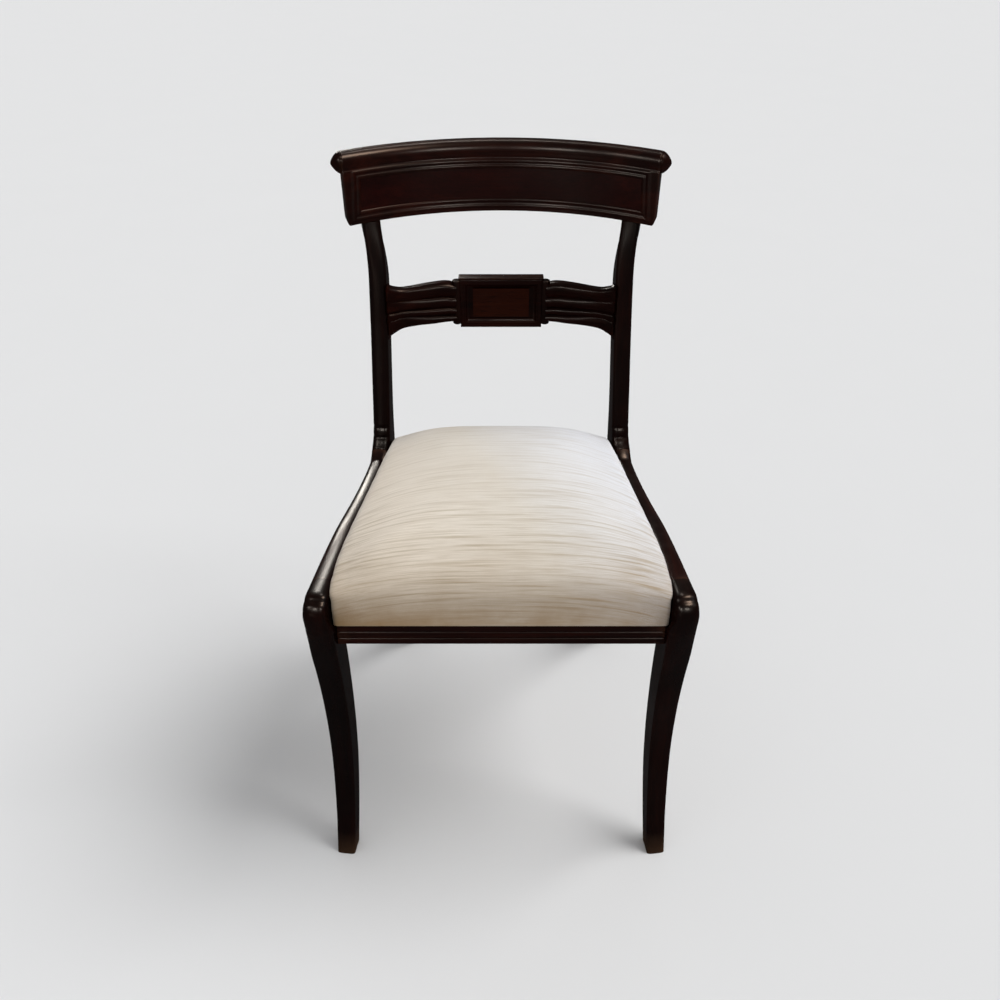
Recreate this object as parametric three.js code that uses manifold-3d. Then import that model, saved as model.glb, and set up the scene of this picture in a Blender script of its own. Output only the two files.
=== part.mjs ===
// A mahogany side chair: sabre legs, a bowed crest rail with a panel, a carved mid rail
// and an upholstered seat that lifts out. Millimetres, +Z up, and the front faces -Y.
import * as THREE from "three";
import { mergeVertices } from "three/addons/utils/BufferGeometryUtils.js";
import Module from "manifold-3d";

const wasm = await Module();
wasm.setup();

// The whole chair
const kneeWidth = 456.5; // outside the two knees
const postWidth = 364.5; // outside the two posts, where the side rails end in them
const sideDepth = 367.5; // from knee to post, along one side frame
const ledgeHeight = 410; // from the floor to what the loose seat rests on
const fit = 0.3; // gap between pieces that touch
const overrun = 5; // how far a cutter runs past what it cuts
const arrisRound = 3; // rounding of the side frames' edges

// Front leg, its places measured along the side frame from the knee
const kneeRiseHeight = 24.5; // the knee's foremost point above the ledge
const kneeHeight = ledgeHeight + kneeRiseHeight;
const kneeDomeHeight = 23; // and the knee's top above that point
const kneeTop = kneeHeight + kneeDomeHeight;
const kneeRound = 26.3; // from the foremost point to the top of the knee
const legHollow = 38.5; // how far the front edge falls back
const legWaistDepth = 32; // the leg's depth at the same height
const legHollowBack = legHollow + legWaistDepth;
const legJoint = 49; // where the leg ends and the side rail begins
const kneeThick = 34.5;
const footThick = 24.4;
const legFrontShares = [
  [0.28, 0], [0.47, 0.068], [0.65, 0.136], [0.82, 0.226], [0.95, 0.328], [1, 0.43],
  [0.94, 0.543], [0.79, 0.656], [0.55, 0.769], [0.25, 0.876], [0.08, 0.939], [0, 1],
];
const legBackShares = [
  [0, 1], [0.4, 0.9], [0.77, 0.74], [0.95, 0.61], [1, 0.485], [0.82, 0.33], [0.2, 0.153], [-0.53, 0],
];

// Side rail
const railBelow = 24.5; // from the ledge down to the rail's underside
const railUnder = ledgeHeight - railBelow;
const railAbove = 27; // from the ledge up to the lowest point of its top edge
const railDip = ledgeHeight + railAbove;
const railThick = 34;
const postCurveLength = 26.5; // before the post, where the rail's top begins to rise into it
const railCurveEnd = sideDepth - postCurveLength;
const postNoseLength = 11.5; // before the post, where the side rail ends
const postJoint = sideDepth - postNoseLength;
const railTopShares = [
  [0, 1], [0.13, 0.99], [0.27, 0.93], [0.4, 0.79], [0.53, 0.53], [0.67, 0.26],
  [0.8, 0.09], [0.92, 0.01], [1, 0.05],
];
const wellWallFront = 28.3; // rail outside the loose seat, at the knee
const wellWallBack = 23.9; // and at the post

// Back post with the rear leg
const postThick = 23.9;
const backHeight = 342.5; // from the ledge to the crest rail's underside
const crestUnder = ledgeHeight + backHeight;
const postTopSetback = 56.5; // how far back the post's front edge comes at its top
const postTopFront = sideDepth + postTopSetback;
const postTopDepth = 21.5;
const postTopBack = postTopFront + postTopDepth;
const postDepth = 34; // the post behind the side rail's end, where it is slimmest
const postWaist = sideDepth + postDepth;
const postWaistRise = 3;
const postWaistHeight = ledgeHeight + postWaistRise;
const rearToeSetback = 79; // how far back the rear foot's front edge stands
const rearToe = sideDepth + rearToeSetback;
const rearFootDepth = 27.5;
const rearHeel = rearToe + rearFootDepth;
const postFlare = 9.3; // how far the post's top bends outwards
const postFlareRise = 83; // the height over which it does so
const postTwist = 0.38; // turn of the post's top towards the crest rail, in radians
const postFrontShares = [
  [0, 0], [0.14, 0.026], [0.27, 0.064], [0.355, 0.115], [0.435, 0.2], [0.52, 0.31], [0.61, 0.43],
  [0.69, 0.553], [0.76, 0.677], [0.83, 0.8], [0.91, 0.91], [1, 1],
];
const postBackShares = [
  [1, 1], [0.745, 0.822], [0.55, 0.607], [0.275, 0.39], [0.1, 0.24], [0.02, 0.1], [0, 0],
];
const rearBackShares = [[0.03, 0.875], [0.12, 0.725], [0.27, 0.55], [0.46, 0.375], [0.7, 0.2], [1, 0]];
const rearFrontShares = [
  [1, 0], [0.83, 0.15], [0.66, 0.33], [0.52, 0.51], [0.39, 0.69], [0.26, 0.84], [0.11, 0.97], [0, 1],
];

// Tenons of the side frames
const tenonThick = 11;
const tenonLength = 23.4;
const tenonInset = 12; // from the rail's top and underside to the tenon
const stubWidth = 13; // stub tenon on top of the post
const stubDepth = 11;
const stubHeight = 12;

// Front and rear seat rails
const frontRailFace = 17.6; // behind the knees' foremost plane
const frontRailThick = 23.4;
const frontRailHeight = 29.2;
const reedCount = 3;
const reedRise = 2.2; // how far each reed stands out
const rearRailSetback = 6.9; // the rear rail's inner face at the posts, behind the side frames' depth
const rearRailThick = 29.2;
const rearRailAbove = 23.5; // from the ledge up to the rear rail's top
const rearRailTop = ledgeHeight + rearRailAbove;
const rearLedgeWidth = 9; // width of the rear rail's rebate
const tenonRoot = 4; // how far a cross rail's tenons run back inside it
const crossTenonLength = 15;
const crossTenonHeight = 18;
const crossTenonThick = 10;

// Crest rail, an arc whose middle is set back
const crestBow = 341; // radius of the rail's face
const crestSet = 12; // from the face's lower edge to the middle of the posts under it
const crestOverhang = 14.25; // how far the face's lower edge runs past the posts' width
const crestHalfWidth = postWidth / 2 + crestOverhang;
const crestEndAngle = 0.28; // how far the end cuts turn outwards, in radians
const crestThick = 25.3;
const rollSetback = 13.7; // how far the face leans back up to the roll
const rollRadius = 14.1;
const rollRise = 74; // from the rail's underside to the roll's centre
const rollHeight = crestUnder + rollRise;
const edgeRound = 2;
const panelMargin = 18.5; // from the rail's ends to the veneer panel
const panelLow = 13.2; // from the rail's underside to the panel
const panelHeight = 40;
const panelThick = 1.6;
const panelSink = 0.8; // the panel's face lies this far below the rail's face
const bossLength = 12.2;
const bossSpigotRadius = 4;
const bossSpigotLength = 12;
const bossShares = [[1, 0], [1, 0.2], [0.84, 0.26], [0.84, 0.42], [0.66, 0.5], [0.58, 0.78], [0.3, 0.95]];

// Mid rail
const midBow = 341;
const midSet = 4.4; // how far the arms' face stands before the posts' middle where it meets them
const midRise = 224; // from the ledge to the rail's middle line
const midHeight = ledgeHeight + midRise;
const armThick = 13.7;
const armHalfHeight = 29.2;
const tabletWidth = 114;
const tabletHeight = 73;
const tabletDrop = 0.5; // how far the tablet's middle lies below the arms'
const tabletStand = 7; // how far its face stands before the arms'
const tabletThick = 15.6;
const tabletPanelWidth = 77;
const tabletPanelHeight = 41;
const tabletPanelThick = 2;
const tabletPanelSink = 1.5;
const collarRadius = 5.4;
const collarHeight = 63.5;
const collarStandShare = 0.8; // of its radius, how far its axis stands off the tablet
const armInset = 6.75; // how much less than the posts' outer width the arms' rough length reaches
const armReach = postWidth / 2 - armInset;
const armTopShares = [
  [0.2, 0.95], [0.4, 0.9], [0.47, 1.02], [0.58, 1], [0.75, 0.95], [0.83, 1.06], [0.9, 1.27], [1, 1.32],
];
const armUnderShares = [
  [1, -1.36], [0.89, -1.34], [0.83, -1.18], [0.77, -1.03], [0.66, -1], [0.53, -1.01], [0.4, -0.98],
  [0.2, -1],
];
const midTenonLength = 14;
const midTenonHeight = 38;
const midTenonThick = 9;

// Corner blocks and their screws
const blockLeg = 46;
const blockHeight = 26;
const screwLength = 34;
const screwRadius = 2.2;
const screwHeadRadius = 4.4;
const screwHeadHeight = 3;
const screwSlot = 1;
const screwBite = 20; // length of each screw inside the rail
const screwOffset = 28; // along the rail, from the block's square corner
const screwStagger = 5.2; // how far each screw lies above or below the block's middle

// Loose seat
const coverThick = 1.2;
const seatPlay = 0.6; // between the seat and the frame round it
const frameHeight = 20;
const frameWidth = 48;
const frameTenonLength = 30;
const frameTenonThick = 7;
const webWidth = 50;
const webThick = 1.3;
const webLap = 16; // how far each strap lies on the frame
const clothThick = 0.8;
const clothInset = 8;
const padSideHeight = 75; // from the ledge to the pad's upper edge
const padEdge = ledgeHeight + padSideHeight;
const padDomeHeight = 16.5; // from that edge to the crown
const padCrown = padEdge + padDomeHeight;
const padCornerDrop = 23; // how much lower the pad's edge lies at its corners
const padRound = 23.4;
const padTurn = 1.21; // how far the pad's sides turn over before the crown, in radians
const crownShares = [0.95, 0.86, 0.72, 0.5, 0.26];

// Counts and powers
const straps = 3;
const arcSteps = 28;
const curveStep = 3; // points kept from each stretch between two shares
const reedSteps = 6;
const rollSteps = 12;
const bossSides = 20;
const collarSides = 12;
const screwSides = 10;
const ringSide = 10; // points along each side of the pad's plan
const turnSteps = 4;
const cornerPower = 36; // the higher, the squarer the pad's corners
const dropPower = 4;
const crownPower = 2.2;

const halfKnee = kneeWidth / 2;
const splay = Math.asin((kneeWidth - postWidth) / 2 / sideDepth);

// Materials
const mahogany = () => new THREE.MeshStandardMaterial({ color: 0x2e0f0b, roughness: 0.3, metalness: 0 });
const veneer = () => new THREE.MeshStandardMaterial({ color: 0x4a1710, roughness: 0.3, metalness: 0 });
const beech = () => new THREE.MeshStandardMaterial({ color: 0xb48a5c, roughness: 0.7, metalness: 0 });
const jute = () => new THREE.MeshStandardMaterial({ color: 0x9c7b4d, roughness: 0.95, metalness: 0 });
const hessian = () => new THREE.MeshStandardMaterial({ color: 0xa98c60, roughness: 0.95, metalness: 0 });
const wadding = () => new THREE.MeshStandardMaterial({ color: 0xe8e2d4, roughness: 1, metalness: 0 });
const linen = () => new THREE.MeshStandardMaterial({ color: 0xcfc3b2, roughness: 0.9, metalness: 0 });
const steel = () => new THREE.MeshStandardMaterial({ color: 0x8c8a86, roughness: 0.4, metalness: 1 });

// Joining and cutting
function solid(geometry) {
  const plain = geometry.clone();
  plain.deleteAttribute("normal");
  plain.deleteAttribute("uv");
  const merged = mergeVertices(plain);
  const vertProperties = new Float32Array(merged.attributes.position.array);
  const triVerts = new Uint32Array(merged.index.array);
  return new wasm.Manifold(new wasm.Mesh({ numProp: 3, vertProperties, triVerts }));
}

function geometryOf(body) {
  const { vertProperties, triVerts } = body.getMesh();
  const geometry = new THREE.BufferGeometry();
  geometry.setAttribute("position", new THREE.BufferAttribute(vertProperties, 3));
  geometry.setIndex(new THREE.BufferAttribute(triVerts, 1));
  geometry.computeVertexNormals();
  return geometry;
}

function cut(geometry, ...tools) {
  return geometryOf(tools.reduce((body, tool) => body.subtract(solid(tool)), solid(geometry)));
}

function join(geometry, ...others) {
  return geometryOf(others.reduce((body, other) => body.add(solid(other)), solid(geometry)));
}

function keep(geometry, region) {
  return geometryOf(solid(geometry).intersect(solid(region)));
}

// Turns a section drawn in y and z and pulled out along its normal, so that it runs along x
const pulledAlongX = new THREE.Matrix4().makeBasis(
  new THREE.Vector3(0, 1, 0), new THREE.Vector3(0, 0, 1), new THREE.Vector3(1, 0, 0));

// A box between two corners
function block(low, high) {
  const size = high.map((value, i) => value - low[i]);
  const middle = high.map((value, i) => (value + low[i]) / 2);
  return new THREE.BoxGeometry(...size).translate(...middle);
}

// A prism: an outline seen from above, between two heights
function prism(points, low, high) {
  const shape = new THREE.Shape(points.map(([x, y]) => new THREE.Vector2(x, y)));
  return new THREE.ExtrudeGeometry(shape, { depth: high - low, bevelEnabled: false }).translate(0, 0, low);
}

const mirrorX = ([x, y]) => [-x, y];
const mirrored = (points) => [...points].reverse().map(mirrorX);

// A smooth stretch of an outline, from shares of a run and a rise
function curve(shares, [start, run], [base, rise]) {
  const points = shares.map(([a, b]) => new THREE.Vector2(start + a * run, base + b * rise));
  return new THREE.SplineCurve(points).getPoints((points.length - 1) * curveStep);
}

// Side frames, drawn for the right-hand side: y runs back along the frame, x is 0 outside
const sidePlace = new THREE.Matrix4()
  .makeRotationZ(splay)
  .setPosition(halfKnee, 0, 0);
const chairToSide = sidePlace.clone().invert();
const toSide = (geometry) => geometry.clone().applyMatrix4(chairToSide);
const toChair = (geometry) => geometry.clone().applyMatrix4(sidePlace);
const toLeft = (geometry) => {
  const loose = geometry.index ? geometry.toNonIndexed() : geometry.clone();
  const copy = loose.scale(-1, 1, 1);
  const places = copy.attributes.position;
  for (let i = 0; i < places.count; i += 3) {
    const second = new THREE.Vector3().fromBufferAttribute(places, i + 1);
    const third = new THREE.Vector3().fromBufferAttribute(places, i + 2);
    places.setXYZ(i + 1, ...third);
    places.setXYZ(i + 2, ...second);
  }
  return copy;
};

const postFront = curve(postFrontShares,
  [railCurveEnd, postTopFront - railCurveEnd], [railDip, crestUnder - railDip]);
const postBack = curve(postBackShares,
  [postWaist, postTopBack - postWaist], [postWaistHeight, crestUnder - postWaistHeight]);

// Where a post's edge stands at some height
function edgeAt(points, height) {
  const i = points.findIndex((point, n) => n > 0 && (point.y - height) * (points[n - 1].y - height) <= 0);
  const [from, to] = [points[i - 1], points[i]];
  return THREE.MathUtils.mapLinear(height, from.y, to.y, from.x, to.x);
}

// The side frame's whole outline, from the toe up the front and back along the rear leg
function sideOutline() {
  const knee = new THREE.EllipseCurve(
    kneeRound, kneeHeight, kneeRound, kneeDomeHeight, Math.PI, Math.PI / 2, true);
  const stretches = [
    curve(legFrontShares, [0, legHollow], [0, kneeHeight]),
    knee.getPoints(curveStep * 2),
    curve(railTopShares, [legJoint, railCurveEnd - legJoint], [railDip, kneeTop - railDip]),
    postFront,
    postBack,
    curve(rearBackShares, [postWaist, rearHeel - postWaist], [0, postWaistHeight]),
    curve(rearFrontShares, [railCurveEnd, rearToe - railCurveEnd], [0, railUnder]),
    curve(legBackShares, [legJoint, legHollowBack - legJoint], [0, railUnder]),
  ];
  const points = [];
  for (const point of stretches.flat()) {
    const last = points.at(-1);
    if (!last || last.distanceTo(point) > fit) points.push(point);
  }
  return new THREE.Shape(points);
}

// A board sawn to that outline, its outer face at x = 0
function sideBoard(thickness) {
  const board = new THREE.ExtrudeGeometry(sideOutline(), {
    depth: thickness - 2 * arrisRound,
    bevelThickness: arrisRound,
    bevelSize: arrisRound,
    bevelOffset: -arrisRound,
    bevelSegments: 2,
  });
  return board.translate(0, 0, arrisRound - thickness).applyMatrix4(pulledAlongX);
}

// The stretch of a side board above the rail's underside, with the leg below it if there is one
const reach = ([from, to], [low, high]) => block([-kneeWidth, from, low], [overrun, to, high]);
const boardTop = crestUnder + overrun;
const railRegion = reach([legJoint + fit, postJoint - fit], [railUnder, boardTop]);
const legRegion = join(
  reach([-overrun, legJoint], [-overrun, boardTop]), reach([0, sideDepth / 2], [-overrun, railUnder]));
const postRegion = join(
  reach([postJoint, rearHeel + overrun], [-overrun, boardTop]),
  reach([sideDepth / 2, postJoint + overrun], [-overrun, railUnder]));

// How the front leg thins towards its foot
function taperLeg(geometry) {
  const places = geometry.attributes.position;
  for (let i = 0; i < places.count; i++) {
    const thin = THREE.MathUtils.lerp(footThick / kneeThick, 1, places.getZ(i) / kneeTop);
    places.setX(i, places.getX(i) * thin);
  }
  return geometry;
}

// How the post's top bends out and turns to meet the crest rail
function bendPost(geometry) {
  const places = geometry.attributes.position;
  const axisX = -postThick / 2;
  const axisY = (postTopFront + postTopBack) / 2;
  for (let i = 0; i < places.count; i++) {
    const bend = THREE.MathUtils.smoothstep(places.getZ(i), crestUnder - postFlareRise, crestUnder);
    const turn = -postTwist * bend;
    const x = places.getX(i) - axisX;
    const y = places.getY(i) - axisY;
    places.setX(i, axisX + x * Math.cos(turn) - y * Math.sin(turn) + postFlare * bend);
    places.setY(i, axisY + x * Math.sin(turn) + y * Math.cos(turn));
  }
  return geometry;
}

// A place on the right side frame, some way inside its outer face and along it
const placeAt = (inside, along) => new THREE.Vector3(-inside, along, 0).applyMatrix4(sidePlace);
const rearRailFace = placeAt(postThick, sideDepth + rearRailSetback).y;
const seatBack = rearRailFace + rearLedgeWidth;

// The space that the loose seat drops into, as half widths at two places
const wellFront = placeAt(wellWallFront, 0);
const wellRear = placeAt(wellWallBack, sideDepth);
const wellSlope = (wellRear.x - wellFront.x) / (wellRear.y - wellFront.y);
const wellHalf = (y) => wellFront.x + (y - wellFront.y) * wellSlope;
const trapezoid = (front, back, inset) => {
  const right = [[wellHalf(front) - inset, front], [wellHalf(back) - inset, back]];
  return [...right, ...mirrored(right)];
};
const well = prism(trapezoid(-overrun, seatBack + fit, 0), ledgeHeight, crestUnder);

// Tenons of a side rail, made at one end and grown for the mortise
function railTenon(at, low, high, gap) {
  const middle = -wellWallBack / 2;
  return block(
    [middle - tenonThick / 2 - gap, at - tenonLength - gap, low - gap],
    [middle + tenonThick / 2 + gap, at + tenonLength + gap, high + gap],
  );
}
const tenonLow = railUnder + tenonInset;
const frontTenonHigh = kneeTop - tenonInset;
const rearTenonHigh = railDip - tenonInset;

// A tenon on the right end of a cross rail, past the inner face of the leg or post
const crossTenon = (y, z, height, thick, inner, length, gap) => block(
  [inner - tenonRoot, y - thick / 2 - gap, z - height / 2 - gap],
  [inner + length + gap, y + thick / 2 + gap, z + height / 2 + gap]);
const bothEnds = (geometry) => join(geometry, toLeft(geometry));

const frontRailMiddle = frontRailFace + frontRailThick / 2;
const frontRailZ = ledgeHeight - frontRailHeight / 2;
const legInner = placeAt(kneeThick, frontRailMiddle).x;
const frontTenon = (gap) =>
  crossTenon(frontRailMiddle, frontRailZ, crossTenonHeight, crossTenonThick,
    legInner, crossTenonLength, gap);

const rearRailMiddle = seatBack + (rearRailFace + rearRailThick - seatBack) / 2;
const rearTenonZ = ledgeHeight - crossTenonHeight / 2;
const postInner = placeAt(postThick, rearRailMiddle).x;
const rearTenon = (gap) =>
  crossTenon(rearRailMiddle, rearTenonZ, crossTenonHeight, crossTenonThick,
    postInner, crossTenonLength, gap);

const postMiddle = (edgeAt(postFront, midHeight) + edgeAt(postBack, midHeight)) / 2;
const armEnd = placeAt(postThick, postMiddle);
const midFaceMiddle = armEnd.y - midSet + midBow - Math.sqrt(midBow ** 2 - armEnd.x ** 2);
const midTenonY = armEnd.y - midSet + armThick / 2;
const midInner = placeAt(postThick, midTenonY).x;
const tabletFace = midFaceMiddle - tabletStand;
const midTenon = (gap) =>
  crossTenon(midTenonY, midHeight, midTenonHeight, midTenonThick, midInner, midTenonLength, gap);

// Everything outside the inner face of a leg or post, to cut a cross rail's shoulders
function outside(thickness, tapered) {
  const region = block([-thickness - fit, -sideDepth, 0], [kneeWidth, 2 * sideDepth, crestUnder]);
  return toChair(tapered ? taperLeg(region) : region);
}
const betweenLegs = (rail) => cut(rail, outside(kneeThick, true), toLeft(outside(kneeThick, true)));
const betweenPosts = (rail) => cut(rail, outside(postThick, false), toLeft(outside(postThick, false)));

// Screws of the corner blocks, head at the origin and point along -z
function screw(gap) {
  const profile = [
    [0, 0], [screwHeadRadius + gap, 0], [screwRadius + gap, -screwHeadHeight],
    [screwRadius + gap, -screwLength + screwHeadHeight], [0, -screwLength - gap],
  ];
  const points = profile.map(([x, y]) => new THREE.Vector2(x, y)).reverse();
  return new THREE.LatheGeometry(points, screwSides).rotateX(Math.PI / 2);
}
const slot = block(
  [-screwHeadRadius, -screwSlot / 2, -screwSlot], [screwHeadRadius, screwSlot / 2, screwSlot]);
const slottedScrew = cut(screw(0), slot);
const pocketRadius = screwHeadRadius + fit;
const pocket = new THREE.CylinderGeometry(pocketRadius, pocketRadius, screwLength, screwSides)
  .rotateX(Math.PI / 2)
  .translate(0, 0, screwLength / 2 + fit);

// One corner block, drawn in plan from its square corner, with its two screws
function cornerBlock(corner, alongRail, alongSide) {
  const from = new THREE.Vector2(...corner);
  const railEnd = from.clone().addScaledVector(alongRail, blockLeg);
  const sideEnd = from.clone().addScaledVector(alongSide, blockLeg);
  const points = [from, railEnd, sideEnd].map((point) => point.toArray());
  const turned = THREE.ShapeUtils.area([from, railEnd, sideEnd]) < 0 ? points.reverse() : points;
  const low = ledgeHeight - blockHeight;
  const screwPlace = (along, across) => {
    const into = across.clone().negate();
    const head = from.clone()
      .addScaledVector(along, screwOffset)
      .addScaledVector(across, screwLength - screwBite);
    const turn = new THREE.Quaternion().setFromUnitVectors(
      new THREE.Vector3(0, 0, -1), new THREE.Vector3(into.x, into.y, 0));
    const height = low + blockHeight / 2 + (along === alongRail ? -screwStagger : screwStagger);
    return new THREE.Matrix4().compose(
      new THREE.Vector3(head.x, head.y, height), turn, new THREE.Vector3(1, 1, 1));
  };
  const railNormal = new THREE.Vector2(-alongRail.y, alongRail.x);
  const sideNormal = new THREE.Vector2(-alongSide.y, alongSide.x);
  if (railNormal.dot(alongSide) < 0) railNormal.negate();
  if (sideNormal.dot(alongRail) < 0) sideNormal.negate();
  const screws = [screwPlace(alongRail, railNormal), screwPlace(alongSide, sideNormal)];
  const holes = screws.flatMap((place) => [
    screw(fit).applyMatrix4(place), pocket.clone().applyMatrix4(place)]);
  return { body: cut(prism(turned, low, ledgeHeight), ...holes), screws };
}

const sideWall = (y) => new THREE.Vector2(
  halfKnee - y * Math.tan(splay) - railThick / Math.cos(splay) - fit, y);
const backwards = new THREE.Vector2(-Math.sin(splay), Math.cos(splay));
const inwards = new THREE.Vector2(-1, 0);
const frontBlockY = frontRailFace + frontRailThick + fit;
const rearBlockY = rearRailFace - fit;
const blocks = {
  front_right: cornerBlock(sideWall(frontBlockY).toArray(), inwards, backwards),
  rear_right: cornerBlock(sideWall(rearBlockY).toArray(), inwards, backwards.clone().negate()),
};
const screwHoles = Object.values(blocks).flatMap(({ screws }) =>
  screws.map((place) => screw(fit).applyMatrix4(place)));
const allScrewHoles = [...screwHoles, ...screwHoles.map(toLeft)];

// Pieces of the right side frame, in the side frame's own place
const legBoard = taperLeg(keep(sideBoard(kneeThick), legRegion));
const frontLeg = cut(legBoard, toSide(well),
  railTenon(legJoint, tenonLow, frontTenonHigh, fit), toSide(frontTenon(fit)));

const railBoard = keep(sideBoard(railThick), railRegion);
const frontTenonPiece = railTenon(legJoint, tenonLow, frontTenonHigh, 0);
const rearTenonPiece = railTenon(postJoint, tenonLow, rearTenonHigh, 0);
const sideRail = cut(join(cut(railBoard, toSide(well)), frontTenonPiece, rearTenonPiece),
  ...screwHoles.map(toSide));

const postBoard = keep(sideBoard(postThick), postRegion);
const stub = (gap) => {
  const x = -postThick / 2;
  const y = (postTopFront + postTopBack) / 2;
  return block(
    [x - stubWidth / 2 - gap, y - stubDepth / 2 - gap, crestUnder - overrun],
    [x + stubWidth / 2 + gap, y + stubDepth / 2 + gap, crestUnder + stubHeight + gap]);
};
const postBody = cut(bendPost(postBoard), railTenon(postJoint, tenonLow, rearTenonHigh, fit),
  toSide(rearTenon(fit)), toSide(midTenon(fit)));
const rearPost = join(postBody, bendPost(stub(0)));

// Front rail: reeds drawn in its section, which runs along x
function reededSection() {
  const pitch = frontRailHeight / reedCount;
  const low = ledgeHeight - frontRailHeight;
  const face = frontRailFace + reedRise;
  const shape = new THREE.Shape();
  shape.moveTo(frontRailFace + frontRailThick, low);
  shape.lineTo(frontRailFace + frontRailThick, ledgeHeight);
  shape.lineTo(face, ledgeHeight);
  for (let i = reedCount; i > 0; i--) {
    const middle = low + (i - 0.5) * pitch;
    shape.absellipse(face, middle, reedRise, pitch / 2, Math.PI / 2, 1.5 * Math.PI, false, 0);
  }
  return shape;
}
const frontRailBar = new THREE.ExtrudeGeometry(reededSection(), {
  depth: kneeWidth,
  bevelEnabled: false,
  curveSegments: reedSteps,
}).translate(0, 0, -halfKnee).applyMatrix4(pulledAlongX);
const frontRail = cut(join(betweenLegs(frontRailBar), bothEnds(frontTenon(0))), ...allScrewHoles);

// Rear rail with its own rebate
const rearRailBack = rearRailFace + rearRailThick;
const rearRailBar = join(
  block([-halfKnee, rearRailFace, ledgeHeight - frontRailHeight], [halfKnee, rearRailBack, ledgeHeight]),
  block([-halfKnee, seatBack + fit, ledgeHeight - overrun], [halfKnee, rearRailBack, rearRailTop]));
const rearRail = cut(join(betweenPosts(rearRailBar), bothEnds(rearTenon(0))), ...allScrewHoles);

// An arc in plan whose middle is at y, for the two bowed rails
class PlanArc extends THREE.Curve {
  constructor(radius, middle, halfAngle) {
    super();
    Object.assign(this, { radius, middle, halfAngle });
  }

  getPoint(t, target = new THREE.Vector3()) {
    const angle = (2 * t - 1) * this.halfAngle;
    return target.set(this.radius * Math.sin(angle), this.middle - this.radius * (1 - Math.cos(angle)), 0);
  }
}

// A section swept along an arc; its points are [depth behind the face, height]
function bowed(section, radius, middle, halfAngle, steps) {
  const points = section.map(([depth, height]) => new THREE.Vector2(-height, depth));
  return new THREE.ExtrudeGeometry(new THREE.Shape(points), {
    steps,
    extrudePath: new PlanArc(radius, middle, halfAngle),
    bevelEnabled: false,
  });
}

// Crest rail, set so that the posts' tops stand in the middle of its lower edge
const postTop = placeAt(postThick / 2 - postFlare, (postTopFront + postTopBack) / 2);
const crestFaceMiddle =
  postTop.y + crestBow - Math.sqrt((crestBow + crestSet) ** 2 - postTop.x ** 2);
const leanAt = (height) => rollSetback * (height - crestUnder) / (rollHeight - crestUnder);
function crestSection() {
  const rollMiddle = rollSetback + rollRadius;
  const roll = new THREE.EllipseCurve(
    rollMiddle, rollHeight, rollRadius, rollRadius, Math.PI, -Math.PI / 4, true)
    .getPoints(rollSteps)
    .map((point) => point.toArray());
  const backTop = [leanAt(rollHeight - rollRadius) + crestThick, rollHeight - rollRadius];
  return [
    [0, crestUnder + edgeRound], ...roll, backTop,
    [crestThick, crestUnder + edgeRound], [crestThick - edgeRound, crestUnder], [edgeRound, crestUnder],
  ];
}
const panelFrom = crestUnder + panelLow;
const panelTo = panelFrom + panelHeight;
const panelAngle = Math.asin((crestHalfWidth - panelMargin) / crestBow);
function panelBody(front, back, gap) {
  const section = [
    [leanAt(panelFrom) + front, panelFrom - gap], [leanAt(panelTo) + front, panelTo + gap],
    [leanAt(panelTo) + back, panelTo + gap], [leanAt(panelFrom) + back, panelFrom - gap],
  ];
  return bowed(section, crestBow, crestFaceMiddle, panelAngle + gap / crestBow, arcSteps);
}
const crestPanel = panelBody(panelSink, panelSink + panelThick, 0);
const panelRecess = panelBody(-overrun, panelSink + panelThick + fit, fit);

// Bosses on the ends of the roll, each with a spigot
function boss(gap) {
  const rim = bossShares.map(([r, l]) => [r * rollRadius, l * bossLength]);
  const profile = [
    [0, -bossSpigotLength - gap], [bossSpigotRadius + gap, -bossSpigotLength - gap],
    [bossSpigotRadius + gap, 0], ...rim, [0, bossLength],
  ];
  return new THREE.LatheGeometry(profile.map(([x, y]) => new THREE.Vector2(x, y)), bossSides);
}
const bowCentre = new THREE.Vector2(0, crestFaceMiddle - crestBow);
const endFrom = new THREE.Vector2(crestHalfWidth, Math.sqrt(crestBow ** 2 - crestHalfWidth ** 2));
const endAlong = new THREE.Vector2(Math.sin(crestEndAngle), Math.cos(crestEndAngle));
const endNormal = new THREE.Vector2(Math.cos(crestEndAngle), -Math.sin(crestEndAngle));
function onEndCut(radius) {
  const half = endFrom.dot(endAlong);
  const way = Math.sqrt(half ** 2 + radius ** 2 - endFrom.lengthSq()) - half;
  return endFrom.clone().addScaledVector(endAlong, way).add(bowCentre);
}
const bossSeat = onEndCut(crestBow + rollSetback + rollRadius).addScaledVector(endNormal, fit);
const bossPlace = new THREE.Matrix4()
  .makeRotationZ(-crestEndAngle - Math.PI / 2)
  .setPosition(bossSeat.x, bossSeat.y, rollHeight);
const crestBoss = boss(0).applyMatrix4(bossPlace);
const bossBore = boss(fit).applyMatrix4(bossPlace);

const longArc = Math.asin((crestHalfWidth + rollRadius) / crestBow);
const longBar = bowed(crestSection(), crestBow, crestFaceMiddle, longArc, arcSteps);
const endSides = [onEndCut(crestBow - kneeRound), onEndCut(2 * crestBow)]
  .map((point) => point.toArray());
const crestBar = keep(longBar, prism([...endSides, ...mirrored(endSides)], railUnder, 2 * rollHeight));
const stubMortise = toChair(bendPost(stub(fit)));
const crestRail = cut(crestBar, panelRecess, bossBore, toLeft(bossBore), stubMortise, toLeft(stubMortise));

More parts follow.
